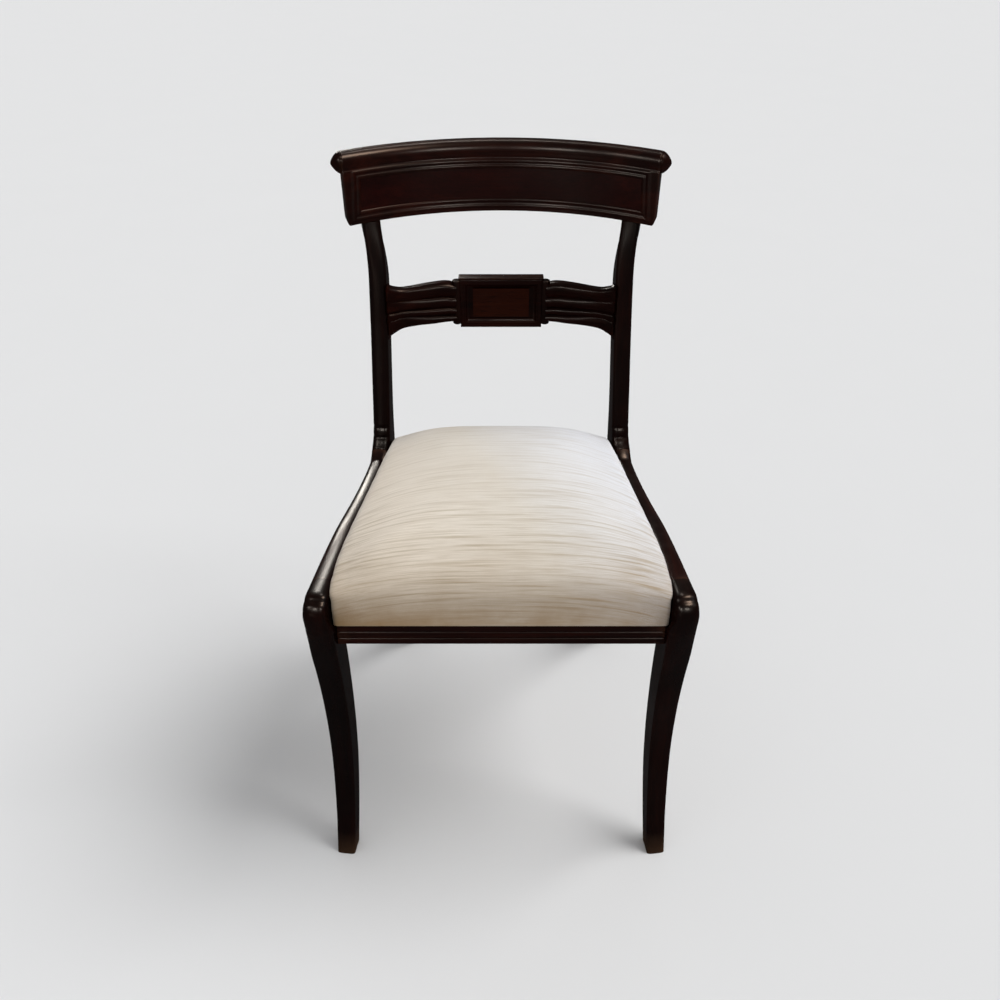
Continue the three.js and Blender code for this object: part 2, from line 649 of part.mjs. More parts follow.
// Mid rail: the front view is sawn out of a bowed slab, and the tablet and collars are joined on
const frontView = (points, from, to) => prism(points, 0, to - from)
  .rotateX(Math.PI / 2)
  .translate(0, to, 0);
const armPoints = [armTopShares, armUnderShares].flatMap((shares) =>
  curve(shares, [0, armReach], [midHeight, armHalfHeight]).map((point) => point.toArray()));
const armOutline = [...armPoints, ...mirrored(armPoints)];
const slabSection = [
  [0, midHeight - tabletHeight], [0, midHeight + tabletHeight],
  [armThick, midHeight + tabletHeight], [armThick, midHeight - tabletHeight],
];
const midSlab = bowed(slabSection, midBow, midFaceMiddle, Math.asin(armReach / midBow), arcSteps);
const armsFront = midFaceMiddle - midBow;
const arms = betweenPosts(keep(midSlab, frontView(armOutline, armsFront, midFaceMiddle + midBow)));
const tabletMiddle = midHeight - tabletDrop;
const tablet = block(
  [-tabletWidth / 2, tabletFace, tabletMiddle - tabletHeight / 2],
  [tabletWidth / 2, tabletFace + tabletThick, tabletMiddle + tabletHeight / 2]);
const tabletPiece = (front, back, gap) => block(
  [-tabletPanelWidth / 2 - gap, tabletFace + front, tabletMiddle - tabletPanelHeight / 2 - gap],
  [tabletPanelWidth / 2 + gap, tabletFace + back, tabletMiddle + tabletPanelHeight / 2 + gap]);
const tabletPanel = tabletPiece(tabletPanelSink, tabletPanelSink + tabletPanelThick, 0);
const tabletRecess = tabletPiece(-overrun, tabletPanelSink + tabletPanelThick + fit, fit);
const collarX = tabletWidth / 2 + collarStandShare * collarRadius;
const collarY = midFaceMiddle - midBow + Math.sqrt(midBow ** 2 - collarX ** 2) + collarRadius / 2;
const collar = (side) => new THREE.CylinderGeometry(
  collarRadius, collarRadius, collarHeight, collarSides)
  .rotateX(Math.PI / 2)
  .translate(side * collarX, collarY, midHeight);
const midRail = cut(join(arms, tablet, collar(1), collar(-1), bothEnds(midTenon(0))), tabletRecess);

// Loose seat: its layers from the ledge up
const seatFront = frontRailFace;
const seatLow = ledgeHeight + fit;
const frameTop = seatLow + frameHeight;
const longLow = frameTop + fit;
const crossLow = longLow + webThick + fit;
const clothLow = crossLow + webThick + fit;
const stuffingLow = clothLow + clothThick + fit;

// Pads and their covers: rings round the seat's plan, up the sides, over and in to the crown
function padForm(grow, bottom) {
  const front = seatFront + coverThick - grow;
  const back = seatBack - coverThick + grow;
  const middle = (front + back) / 2;
  const half = (back - front) / 2;
  const edge = padEdge + grow;
  const crown = padCrown + grow;
  const round = padRound + grow;
  const square = [];
  for (let side = 0; side < 4; side++) {
    for (let i = 0; i < ringSide; i++) {
      const place = new THREE.Vector2(1, (2 * i) / ringSide - 1)
        .rotateAround(new THREE.Vector2(), side * Math.PI / 2);
      const power = Math.abs(place.x) ** cornerPower + Math.abs(place.y) ** cornerPower;
      square.push(place.multiplyScalar(power ** (-1 / cornerPower)));
    }
  }
  const ring = (inset, height, share = 1) => square.map(({ x, y }) => {
    const rise = Math.max(0, (height - stuffingLow) / (padEdge - stuffingLow));
    const corner = Math.abs(x * y * share ** 2) ** dropPower * rise;
    const py = middle + y * (half - inset) * share;
    const wide = wellHalf(middle + y * (half - inset)) - seatPlay - coverThick + grow - inset;
    return [x * wide * share, py, height - padCornerDrop * corner];
  });
  const rings = [ring(0, bottom), ring(0, edge - round)];
  for (let i = 1; i <= turnSteps; i++) {
    const angle = i / turnSteps * padTurn;
    rings.push(ring(round * (1 - Math.cos(angle)), edge - round + round * Math.sin(angle)));
  }
  const inset = round * (1 - Math.cos(padTurn));
  const shoulder = edge - round + round * Math.sin(padTurn);
  for (const share of crownShares) {
    rings.push(ring(inset, shoulder + (crown - shoulder) * (1 - share ** crownPower), share));
  }
  const count = square.length;
  const places = rings.flat();
  places.push([0, middle, crown], [0, middle, bottom]);
  const top = places.length - 2;
  const index = [];
  for (let r = 0; r < rings.length - 1; r++) {
    for (let i = 0; i < count; i++) {
      const a = r * count + i;
      const b = r * count + (i + 1) % count;
      index.push(a, b, b + count, a, b + count, a + count);
    }
  }
  const last = (rings.length - 1) * count;
  for (let i = 0; i < count; i++) {
    index.push(last + i, last + (i + 1) % count, top, (i + 1) % count, i, top + 1);
  }
  const geometry = new THREE.BufferGeometry();
  geometry.setAttribute("position", new THREE.BufferAttribute(new Float32Array(places.flat()), 3));
  geometry.setIndex(index);
  return geometry;
}

// Loose seat: the frame's own pieces
const frameInset = seatPlay + coverThick + fit;
const frameFront = seatFront + coverThick + fit;
const frameBack = seatBack - coverThick - fit;
const frontInner = frameFront + frameWidth;
const backInner = frameBack - frameWidth;
const crossPiece = (from, to) => prism(trapezoid(from, to, frameInset), seatLow, frameTop);
const sidePoints = (from, to, inset, width) => {
  const slant = (y, x) => [wellHalf(y) - inset - x, y];
  return [slant(from, 0), slant(to, 0), slant(to, width), slant(from, width)];
};
const tenonMiddle = seatLow + frameHeight / 2;
const sideTenon = (from, to, gap) => prism(
  sidePoints(from - gap, to + gap, frameInset + tenonThick - gap, tenonLength + 2 * gap),
  tenonMiddle - frameTenonThick / 2 - gap, tenonMiddle + frameTenonThick / 2 + gap);
const tenonFrom = frontInner - frameTenonLength;
const tenonTo = backInner + frameTenonLength;
const seatSide = join(
  prism(sidePoints(frontInner + fit, backInner - fit, frameInset, frameWidth), seatLow, frameTop),
  sideTenon(tenonFrom, tenonTo, 0));
const seatTenons = [sideTenon(tenonFrom, tenonTo, fit), toLeft(sideTenon(tenonFrom, tenonTo, fit))];
const seatCross = (from, to) => keep(cut(crossPiece(from, to), ...seatTenons), padForm(-fit, 0));

// Webbing: straps front to back, then straps from side to side over them
const longReach = [frontInner - webLap, backInner + webLap];
const backHalf = wellHalf(backInner) - frameWidth - frameInset;
const strapPitch = 2 * backHalf / straps;
function longStrap(i) {
  const x = (i - (straps - 1) / 2) * strapPitch;
  return block(
    [x - webWidth / 2, longReach[0], longLow], [x + webWidth / 2, longReach[1], longLow + webThick]);
}
function crossStrap(i) {
  const y = frontInner + (i + 0.5) * (backInner - frontInner) / straps;
  const half = wellHalf(y) - frameInset - frameWidth + webLap;
  return block([-half, y - webWidth / 2, crossLow], [half, y + webWidth / 2, crossLow + webThick]);
}

const clothPlan = trapezoid(frameFront + clothInset, frameBack - clothInset, frameInset + clothInset);
const baseCloth = prism(clothPlan, clothLow, clothLow + clothThick);

const stuffing = padForm(-fit, stuffingLow);
const seatCover = cut(padForm(coverThick, seatLow), padForm(0, seatLow - overrun));

// The chair
const chair = new THREE.Group();
const rightSide = new THREE.Group();
rightSide.position.set(halfKnee, 0, 0);
rightSide.rotation.z = splay;
const leftSide = new THREE.Group();
leftSide.scale.x = -1;
const leftFrame = rightSide.clone();
leftSide.add(leftFrame);
chair.add(rightSide, leftSide);

function add(parent, name, geometry, material) {
  const mesh = new THREE.Mesh(geometry, material);
  mesh.name = name;
  parent.add(mesh);
  return mesh;
}

const sidePieces = [["front_leg", frontLeg], ["side_rail", sideRail], ["rear_post", rearPost]];
for (const [name, geometry] of sidePieces) {
  add(rightSide, `${name}_right`, geometry, mahogany());
  add(leftFrame, `${name}_left`, geometry, mahogany());
}
add(chair, "front_rail", frontRail, mahogany());
add(chair, "rear_rail", rearRail, mahogany());
add(chair, "crest_rail", crestRail, mahogany());
add(chair, "crest_panel", crestPanel, veneer());
add(chair, "mid_rail", midRail, mahogany());
add(chair, "tablet_panel", tabletPanel, veneer());
const mirror = new THREE.Group();
mirror.scale.x = -1;
chair.add(mirror);
add(chair, "crest_boss_right", crestBoss, mahogany());
add(mirror, "crest_boss_left", crestBoss, mahogany());

let screwNumber = 1;
for (const [name, { body, screws }] of Object.entries(blocks)) {
  for (const [parent, side] of [[chair, name], [mirror, name.replace("right", "left")]]) {
    add(parent, `corner_block_${side}`, body, beech());
    for (const place of screws) {
      add(parent, `block_screw_${screwNumber++}`, slottedScrew.clone().applyMatrix4(place), steel());
    }
  }
}

const seat = new THREE.Group();
const seatMirror = new THREE.Group();
seatMirror.scale.x = -1;
seat.add(seatMirror);
chair.add(seat);
add(seat, "seat_frame_front", seatCross(frameFront, frontInner), beech());
add(seat, "seat_frame_back", seatCross(backInner, frameBack), beech());
add(seat, "seat_frame_right", seatSide, beech());
add(seatMirror, "seat_frame_left", seatSide, beech());
for (let i = 0; i < straps; i++) {
  add(seat, `webbing_long_${i + 1}`, longStrap(i), jute());
  add(seat, `webbing_cross_${i + 1}`, crossStrap(i), jute());
}
add(seat, "base_cloth", baseCloth, hessian());
add(seat, "stuffing", stuffing, wadding());
add(seat, "seat_cover", seatCover, linen());

// The origin is the middle of the floor under the chair
const bounds = new THREE.Box3().setFromObject(chair, true);
const centre = bounds.getCenter(new THREE.Vector3());
chair.position.set(-centre.x, -centre.y, -bounds.min.z);

export default chair;
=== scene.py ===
import math
import bmesh
import bpy
from mathutils import Matrix, Vector


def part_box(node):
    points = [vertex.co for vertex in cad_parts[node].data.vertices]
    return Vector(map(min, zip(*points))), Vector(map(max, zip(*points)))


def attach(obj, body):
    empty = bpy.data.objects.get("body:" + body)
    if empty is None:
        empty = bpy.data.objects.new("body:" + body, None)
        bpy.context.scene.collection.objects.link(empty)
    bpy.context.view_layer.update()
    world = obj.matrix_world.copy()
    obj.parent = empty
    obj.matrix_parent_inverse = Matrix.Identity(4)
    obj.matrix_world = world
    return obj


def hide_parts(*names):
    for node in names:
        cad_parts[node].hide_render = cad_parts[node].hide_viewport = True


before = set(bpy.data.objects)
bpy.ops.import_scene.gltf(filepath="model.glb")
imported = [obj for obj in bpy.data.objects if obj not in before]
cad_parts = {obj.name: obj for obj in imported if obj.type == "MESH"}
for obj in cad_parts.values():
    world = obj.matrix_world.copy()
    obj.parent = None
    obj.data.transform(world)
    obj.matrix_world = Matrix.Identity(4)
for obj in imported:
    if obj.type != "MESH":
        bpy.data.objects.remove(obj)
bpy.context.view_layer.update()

# Where the main things are, read from the frame (metres)
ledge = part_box("corner_block_front_right")[1].z  # what the loose seat rests on
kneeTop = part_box("front_leg_right")[1].z
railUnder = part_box("side_rail_right")[0].z
crestLow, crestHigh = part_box("crest_rail")
frontRailLow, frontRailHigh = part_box("front_rail")
seatLow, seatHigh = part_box("seat_cover")
crestUnder = crestLow.z

# The side frames: a leg, a rail and a post on each side, drawn along one plank
side = {
    "kneeWidth": 0.4565,  # outside the knees
    "postWidth": 0.3645,  # outside the posts
    "depth": 0.3675,
    "frontRailSetback": 0.0176,
    "kneeHeight": 0.4345,
    "kneeRound": 0.0263,
    "kneeThick": 0.0345,
    "footThick": 0.0244,
    "legJoint": 0.049,
    "legHollow": 0.0385,
    "legWaistDepth": 0.032,
    "railThick": 0.034,
    "railDip": 0.437,
    "railCurveEnd": 0.341,
    "postJoint": 0.356,
    "wallFront": 0.0283,
    "wallBack": 0.0239,
    "postThick": 0.0239,
    "postTopFront": 0.424,
    "postTopDepth": 0.0215,
    "postWaist": 0.4015,
    "postWaistHeight": 0.413,
    "rearToe": 0.4465,
    "rearFootDepth": 0.0275,
    "flare": 0.0093,
    "flareRise": 0.083,
    "twist": 0.38,
    "seam": 0.0002,  # half the width of a glue line
}
bothSides = (("right", False), ("left", True))
quarter = math.pi / 2
arrisTurns = (0, 0.5, 1.05, quarter)  # steps round a small arris
outline = {
    "legFront": [(0.28, 0), (0.47, 0.068), (0.65, 0.136), (0.82, 0.226), (0.95, 0.328), (1, 0.43),
                 (0.94, 0.543), (0.79, 0.656), (0.55, 0.769), (0.25, 0.876), (0.08, 0.939), (0, 1)],
    "legBack": [(-0.53, 0), (0.2, 0.153), (0.82, 0.33), (1, 0.485), (0.95, 0.61), (0.77, 0.74),
                (0.4, 0.9), (0, 1)],
    "railTop": [(0, 1), (0.13, 0.99), (0.27, 0.93), (0.4, 0.79), (0.53, 0.53), (0.67, 0.26),
                (0.8, 0.09), (0.92, 0.01), (1, 0.05)],
    "postFront": [(0, 0), (0.14, 0.026), (0.27, 0.064), (0.355, 0.115), (0.435, 0.2), (0.52, 0.31),
                  (0.61, 0.43), (0.69, 0.553), (0.76, 0.677), (0.83, 0.8), (0.91, 0.91), (1, 1)],
    "postBack": [(0, 0), (0.02, 0.1), (0.1, 0.24), (0.275, 0.39), (0.55, 0.607), (0.745, 0.822), (1, 1)],
    "rearBack": [(1, 0), (0.7, 0.2), (0.46, 0.375), (0.27, 0.55), (0.12, 0.725), (0.03, 0.875), (0, 1)],
    "rearFront": [(1, 0), (0.83, 0.15), (0.66, 0.33), (0.52, 0.51), (0.39, 0.69), (0.26, 0.84),
                  (0.11, 0.97), (0, 1)],
}
splay = math.asin((side["kneeWidth"] - side["postWidth"]) / 2 / side["depth"])
kneeY = frontRailLow.y - side["frontRailSetback"]
sidePlace = Matrix.Translation((side["kneeWidth"] / 2, kneeY, 0)) @ Matrix.Rotation(splay, 4, "Z")


def mix(a, b, share):
    return a + (b - a) * share


def between(a, b, count):
    # Even steps from a to b, without the ends
    return [mix(a, b, i / count) for i in range(1, count)]


def smooth(value, start, end):
    share = min(max((value - start) / (end - start), 0), 1)
    return share * share * (3 - 2 * share)


def curve(shares, start, run, base, rise, steps=10):
    # A smooth curve through points given as shares of a run and a rise
    points = [Vector((start + a * run, base + b * rise)) for a, b in shares]
    made = []
    for i in range(len(points) - 1):
        p1, p2 = points[i], points[i + 1]
        p0, p3 = points[max(i - 1, 0)], points[min(i + 2, len(points) - 1)]
        v1, v2 = (p2 - p0) / 2, (p3 - p1) / 2
        for k in range(steps):
            t = k / steps
            made.append((2 * p1 - 2 * p2 + v1 + v2) * t ** 3 + (3 * p2 - 3 * p1 - 2 * v1 - v2) * t ** 2
                        + v1 * t + p1)
    made.append(points[-1])
    return made


def valueAt(points, place, known, wanted):
    # Reads a curve: its coordinate `wanted` where its coordinate `known` is at `place`
    for a, b in zip(points, points[1:]):
        if min(a[known], b[known]) <= place <= max(a[known], b[known]):
            return mix(a[wanted], b[wanted], (place - a[known]) / (b[known] - a[known] or 1))
    nearest = min((points[0], points[-1]), key=lambda point: abs(point[known] - place))
    return nearest[wanted]


legFront = curve(outline["legFront"], 0, side["legHollow"], 0, side["kneeHeight"])
legBack = curve(outline["legBack"], side["legJoint"],
                side["legHollow"] + side["legWaistDepth"] - side["legJoint"], 0, railUnder)
railTop = curve(outline["railTop"], side["legJoint"], side["railCurveEnd"] - side["legJoint"],
                side["railDip"], kneeTop - side["railDip"])
postFront = curve(outline["postFront"], side["railCurveEnd"], side["postTopFront"] - side["railCurveEnd"],
                  side["railDip"], crestUnder - side["railDip"])
postBack = curve(outline["postBack"], side["postWaist"],
                 side["postTopFront"] + side["postTopDepth"] - side["postWaist"],
                 side["postWaistHeight"], crestUnder - side["postWaistHeight"])
rearBack = curve(outline["rearBack"], side["postWaist"],
                 side["rearToe"] + side["rearFootDepth"] - side["postWaist"], 0, side["postWaistHeight"])
rearFront = curve(outline["rearFront"], side["railCurveEnd"], side["rearToe"] - side["railCurveEnd"],
                  0, railUnder)


# Making meshes

def fillHoles(bm):
    bmesh.ops.holes_fill(bm, edges=[edge for edge in bm.edges if edge.is_boundary], sides=0)


def closed(bm):
    bmesh.ops.remove_doubles(bm, verts=bm.verts, dist=1e-6)
    fillHoles(bm)
    bmesh.ops.recalc_face_normals(bm, faces=bm.faces)
    return bm


def sweep(rings):
    # A tube of rings with the same number of points each, closed at both ends
    around = len(rings[0])
    along = len(rings) - 1
    bm = bmesh.new()
    bmesh.ops.create_grid(bm, x_segments=around, y_segments=along, size=0.5)
    for vert in bm.verts:
        i = round((vert.co.x + 0.5) * around) % around
        j = round((vert.co.y + 0.5) * along)
        vert.co = rings[j][i]
    return closed(bm)


def emptyTo(bm, mesh):
    bm.to_mesh(mesh)
    bm.free()


def addObject(name, data):
    made = bpy.data.objects.new(name, data)
    bpy.context.scene.collection.objects.link(made)
    return made


def addPiece(name, bm, nodes, material, sharp=40, mirrored=False, body="frame"):
    # Turns a bmesh into a piece that rides on a body and stands for its CAD nodes
    if mirrored:
        bmesh.ops.scale(bm, vec=(-1, 1, 1), verts=bm.verts)
        bmesh.ops.reverse_faces(bm, faces=bm.faces)
    mesh = bpy.data.meshes.new(name)
    emptyTo(bm, mesh)
    mesh.shade_smooth()
    mesh.set_sharp_from_angle(angle=math.radians(sharp))
    piece = addObject(name, mesh)
    mesh.materials.append(material)
    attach(piece, body)
    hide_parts(*nodes)
    return piece


def crowned(width, drop, power, steps=16):
    # The rounded front of a section, from the outer face to the inner one, as (inside, behind)
    section = []
    for i in range(steps + 1):
        c, s = math.cos(math.pi * i / steps), math.sin(math.pi * i / steps)
        inside = width / 2 * (1 - math.copysign(abs(c) ** (2 / power), c))
        section.append((inside, drop * (1 - abs(s) ** (2 / power))))
    return section


def corner(middle, radius, start, steps=3):
    # A quarter round as (inside, behind), turning from the inner face to the back or from there out
    angles = [start + quarter * i / steps for i in range(steps + 1)]
    return [(middle[0] + radius * math.cos(a), middle[1] + radius * math.sin(a)) for a in angles]


def boardRing(width, depth, drop, power, arris, sides=5):
    # A section of a leg or post as (inside, behind the front edge)
    ring = crowned(width, drop, power)
    ring += [(width, b) for b in between(drop, depth - arris, sides)]
    ring += corner((width - arris, depth - arris), arris, 0)
    ring += corner((arris, depth - arris), arris, quarter)
    ring += [(0, b) for b in between(depth - arris, drop, sides)]
    return ring


# How the edges of the side frames are worked
shaping = {
    "legDrop": 0.0042, "legPower": 3.6,  # front of the leg
    "kneeDrop": 0.0095, "kneePower": 2.5,  # knee and top of the rail
    "postDrop": 0.0062, "postPower": 2.9,  # front of the post
    "arris": 0.0022,
    "creasePlace": 0.0125,  # the cut across the knee
    "creaseDepth": 0.0014,
    "creaseWidth": 0.0034,
    "knuckles": (0.4735, 0.4605),  # heights of two cuts across the foot of the post
    "knuckleDepth": 0.0014,
    "knuckleWidth": 0.0026,
    "knuckleZone": 0.055,  # over the dip of the rail, where the sections stand closer
    "kneeBelow": 0.06,  # how far under the ledge the leg's front starts to turn into the knee's
    "creaseOver": 0.008,  # how far over the knee's height the crease gets its full depth
    "fullDepths": (0.0115, 0.0165),  # where the leg thins to the rail's wall, from the front
    "fullHeights": (0.004, 0.022),  # and over the ledge
    "postBelow": 0.08,  # how far under the rail the post's front starts to turn into the rail's
    "postHeights": (0.44, 0.56),  # where the rail's front turns into the post's
    "ledgeEdge": 0.0006,
}


def wallAt(along):
    return mix(side["wallFront"], side["wallBack"], along / side["depth"])


def legRings():
    rings = []
    for i in range(57):
        height = ledge * i / 56
        front = valueAt(legFront, height, 1, 0)
        back = valueAt(legBack, height, 1, 0) if height < railUnder else side["legJoint"]
        share = smooth(height, ledge - shaping["kneeBelow"], ledge)
        taper = mix(side["footThick"] / side["kneeThick"], 1, height / kneeTop)
        ring = boardRing(side["kneeThick"], back - front,
                         mix(shaping["legDrop"], shaping["kneeDrop"], share),
                         mix(shaping["legPower"], shaping["kneePower"], share), shaping["arris"], 14)
        rings.append([Vector((-a * taper, front + b, height)) for a, b in ring])
    # Above the ledge the sections turn about its back corner, over the knee
    joint = side["legJoint"] - side["seam"]
    pivot = Vector((joint, ledge))
    path = [Vector((valueAt(legFront, h, 1, 0), h)) for h in
            [mix(ledge, side["kneeHeight"], i / 8) for i in range(8)]]
    for i in range(25):
        turn = quarter * i / 24
        path.append(Vector((side["kneeRound"] * (1 - math.cos(turn)),
                            mix(side["kneeHeight"], kneeTop, math.sin(turn)))))
    path += [Vector((mix(side["kneeRound"], joint, i / 5), kneeTop)) for i in range(1, 6)]
    for place in path:
        crease = math.exp(-((place.x - shaping["creasePlace"]) / shaping["creaseWidth"]) ** 2)
        crease *= smooth(place.y, side["kneeHeight"], side["kneeHeight"] + shaping["creaseOver"])
        reach = (place - pivot).length - shaping["creaseDepth"] * crease
        wall = wallAt(place.x)
        ring = boardRing(wall, reach, shaping["kneeDrop"], shaping["kneePower"], side["seam"], 14)
        way = (pivot - place).normalized()
        front = pivot - way * reach
        made = []
        for a, b in ring:
            spot = front + way * b
            # In front of the seat rail the leg keeps its full thickness a little higher
            fuller = (side["kneeThick"] - wall) * (1 - smooth(spot.x, *shaping["fullDepths"]))
            fuller *= 1 - smooth(spot.y, *(ledge + over for over in shaping["fullHeights"]))
            made.append(Vector((-a * (1 + fuller / wall), *spot)))
        rings.append(made)
    return rings


def railRings():
    rings = []
    start, end = side["legJoint"] + side["seam"], side["postJoint"] - side["seam"]
    arris, drop, edge = shaping["arris"], shaping["kneeDrop"], shaping["ledgeEdge"]
    for i in range(73):
        along = mix(start, end, i / 72)
        if along < side["railCurveEnd"]:
            top = valueAt(railTop, along, 0, 1)
        else:
            top = valueAt(postFront, along, 0, 1)
        wall, thick = wallAt(along), side["railThick"]
        ring = [(a, top - b) for a, b in crowned(wall, drop, shaping["kneePower"])]
        ring += [(wall, height) for height in between(top - drop, ledge, 4)]
        ring += [(wall, ledge), (thick - edge, ledge), (thick, ledge - edge)]
        ring += [(a, railUnder + arris - b) for a, b in corner((thick - arris, 0), arris, 0)]
        ring += [(a, railUnder + arris - b) for a, b in corner((arris, 0), arris, quarter)]
        ring += [(0, height) for height in between(railUnder + arris, top - drop, 6)]
        rings.append([Vector((-a, along, h)) for a, h in ring])
    return rings


def postRings():
    rings = []
    joint = side["postJoint"] + side["seam"]
    axis = Vector((-side["postThick"] / 2, side["postTopFront"] + side["postTopDepth"] / 2))

    def ringAt(height, least):
        if height < railUnder:
            front = valueAt(rearFront, height, 1, 0)
        elif height < side["railDip"]:
            front = side["railCurveEnd"]
        else:
            front = valueAt(postFront, height, 1, 0)
            for cut in shaping["knuckles"]:
                away = (height - cut) / shaping["knuckleWidth"]
                front += shaping["knuckleDepth"] * math.exp(-away ** 2)
        if height < side["postWaistHeight"]:
            back = valueAt(rearBack, height, 1, 0)
        else:
            back = valueAt(postBack, height, 1, 0)
        share = smooth(height, railUnder - shaping["postBelow"], railUnder)
        share *= 1 - smooth(height, *shaping["postHeights"])
        drop = mix(shaping["postDrop"], shaping["kneeDrop"], share)
        power = mix(shaping["postPower"], shaping["kneePower"], share)
        bend = smooth(height, crestUnder - side["flareRise"], crestUnder)
        turn = Matrix.Rotation(-side["twist"] * bend, 2)
        ring = []
        for a, b in boardRing(side["postThick"], back - front, drop, power, shaping["arris"]):
            place = turn @ (Vector((-a, max(front + b, least))) - axis) + axis
            ring.append(Vector((place.x + side["flare"] * bend, place.y, height)))
        rings.append(ring)

    for i in range(45):
        ringAt(railUnder * i / 45, 0)
    for least in (0, joint):
        ringAt(railUnder - side["seam"], least)
    over = side["railDip"] + shaping["knuckleZone"]
    heights = [mix(railUnder, side["railDip"], (i + 0.5) / 13) for i in range(13)]
    heights += [mix(side["railDip"], over, i / 48) for i in range(48)]
    heights += [mix(over, crestUnder - side["seam"], i / 70) for i in range(71)]
    for height in heights:
        ringAt(height, joint)
    return rings


print("drawn the side frames")

# Materials: shared effects are node groups, built once
ownTrees = []


def feed(tree, made, *sources, **named):
    # Links or sets a node's inputs, the first ones in their order and others by name
    pairs = list(zip(made.inputs, sources))
    pairs += [(made.inputs[key.replace("_", " ")], source) for key, source in named.items()]
    for socket, source in pairs:
        if isinstance(source, bpy.types.NodeSocket):
            tree.links.new(source, socket)
        else:
            socket.default_value = source
    return made


def addNode(tree, kind, **settings):
    made = tree.nodes.new("ShaderNode" + kind)
    for key, value in settings.items():
        if hasattr(made, key):
            setattr(made, key, value)
        else:
            feed(tree, made, **{key: value})
    return made


def maths(tree, operation, *sources):
    return feed(tree, addNode(tree, "Math", operation=operation), *sources).outputs[0]


def times(tree, a, b):
    return maths(tree, "MULTIPLY", a, b)


def vectorMaths(tree, operation, *sources, **named):
    return feed(tree, addNode(tree, "VectorMath", operation=operation), *sources, **named).outputs[0]


def ranged(tree, source, start, end, low=0, high=1):
    # Takes a value from one range to another and holds it there
    return feed(tree, addNode(tree, "MapRange"), source, start, end, low, high).outputs[0]


def mapped(tree, source, **settings):
    return feed(tree, addNode(tree, "Mapping", **settings), source).outputs[0]


def noise(tree, source, scale=(1, 1, 1), output="Fac", **settings):
    if scale != (1, 1, 1):
        source = mapped(tree, source, Scale=scale)
    return feed(tree, addNode(tree, "TexNoise", **settings), source).outputs[output]


def split(tree, source):
    return list(feed(tree, addNode(tree, "SeparateXYZ"), source).outputs)


def ramped(tree, source, stops):
    made = addNode(tree, "ValToRGB")
    while len(made.color_ramp.elements) < len(stops):
        made.color_ramp.elements.new(0.5)
    for element, (spot, colour) in zip(made.color_ramp.elements, stops):
        element.position = spot
        element.color = (*colour, 1)
    return feed(tree, made, source).outputs[0]


def blendColour(tree, share, one, other):
    made = addNode(tree, "Mix", data_type="RGBA")
    for spot, value in ((0, share), (6, one), (7, other)):
        if isinstance(value, bpy.types.NodeSocket):
            tree.links.new(value, made.inputs[spot])
        else:
            made.inputs[spot].default_value = (*value, 1)
    return made.outputs[2]


def bumped(tree, height, strength, distance):
    return feed(tree, addNode(tree, "Bump", Strength=strength, Distance=distance), Height=height).outputs[0]


def newGroup(name, outputs, **values):
    # A group that takes a vector and some values, and puts out other values
    group = bpy.data.node_groups.new(name, "ShaderNodeTree")
    ownTrees.append(group)
    group.interface.new_socket(name="Vector", in_out="INPUT", socket_type="NodeSocketVector")
    for label, value in values.items():
        socket = group.interface.new_socket(name=label, in_out="INPUT", socket_type="NodeSocketFloat")
        socket.default_value = value
    for label in outputs:
        group.interface.new_socket(name=label, in_out="OUTPUT", socket_type="NodeSocketFloat")
    return group, group.nodes.new("NodeGroupInput").outputs, group.nodes.new("NodeGroupOutput")


def addGroup(tree, group, source, **values):
    return feed(tree, addNode(tree, "Group", node_tree=group), source, **values).outputs


def startMaterial(name, rough):
    material = bpy.data.materials.new(name)
    material.use_nodes = True
    tree = material.node_tree
    ownTrees.append(tree)
    shader = tree.nodes["Principled BSDF"]
    shader.inputs["Roughness"].default_value = rough
    return material, tree, shader, addNode(tree, "TexCoord").outputs["Object"]


def arrange(tree):
    # Stands the nodes in columns, by how many steps each is from the last one
    steps = {}
    waiting = [(node, 0) for node in tree.nodes if not any(socket.is_linked for socket in node.outputs)]
    while waiting:
        node, step = waiting.pop()
        if step > steps.get(node.name, -1):
            steps[node.name] = step
            waiting += [(link.from_node, step + 1) for link in tree.links if link.to_node == node]
    rows = {}
    for node in tree.nodes:
        step = steps[node.name]
        rows[step] = rows.get(step, 0) + 1
        node.location = (-260 * step, 320 * (2 - rows[step]))


def makeGrainGroup():
    # Timber whose grain runs along the Z of the vector it is given
    group, given, result = newGroup("timberGrain", ("Figure", "Pores", "Height"), Size=1)
    source = vectorMaths(group, "SCALE", given["Vector"], Scale=given["Size"])
    broad = noise(group, source, (1, 1, 0.16), Scale=16, Detail=5, Roughness=0.55, Distortion=0.9)
    stripes = noise(group, source, (1, 1, 0.045), Scale=120, Detail=4, Roughness=0.6, Distortion=0.25)
    flecks = noise(group, source, (1, 1, 0.07), Scale=950, Detail=2, Roughness=0.5)
    figure = maths(group, "ADD", times(group, broad, 0.62), times(group, stripes, 0.38))
    pores = ranged(group, flecks, 0.57, 0.7)
    raised = maths(group, "SUBTRACT", times(group, stripes, 0.5), times(group, pores, 0.6))
    feed(group, result, ranged(group, figure, 0.3, 0.7), pores, raised)
    return group


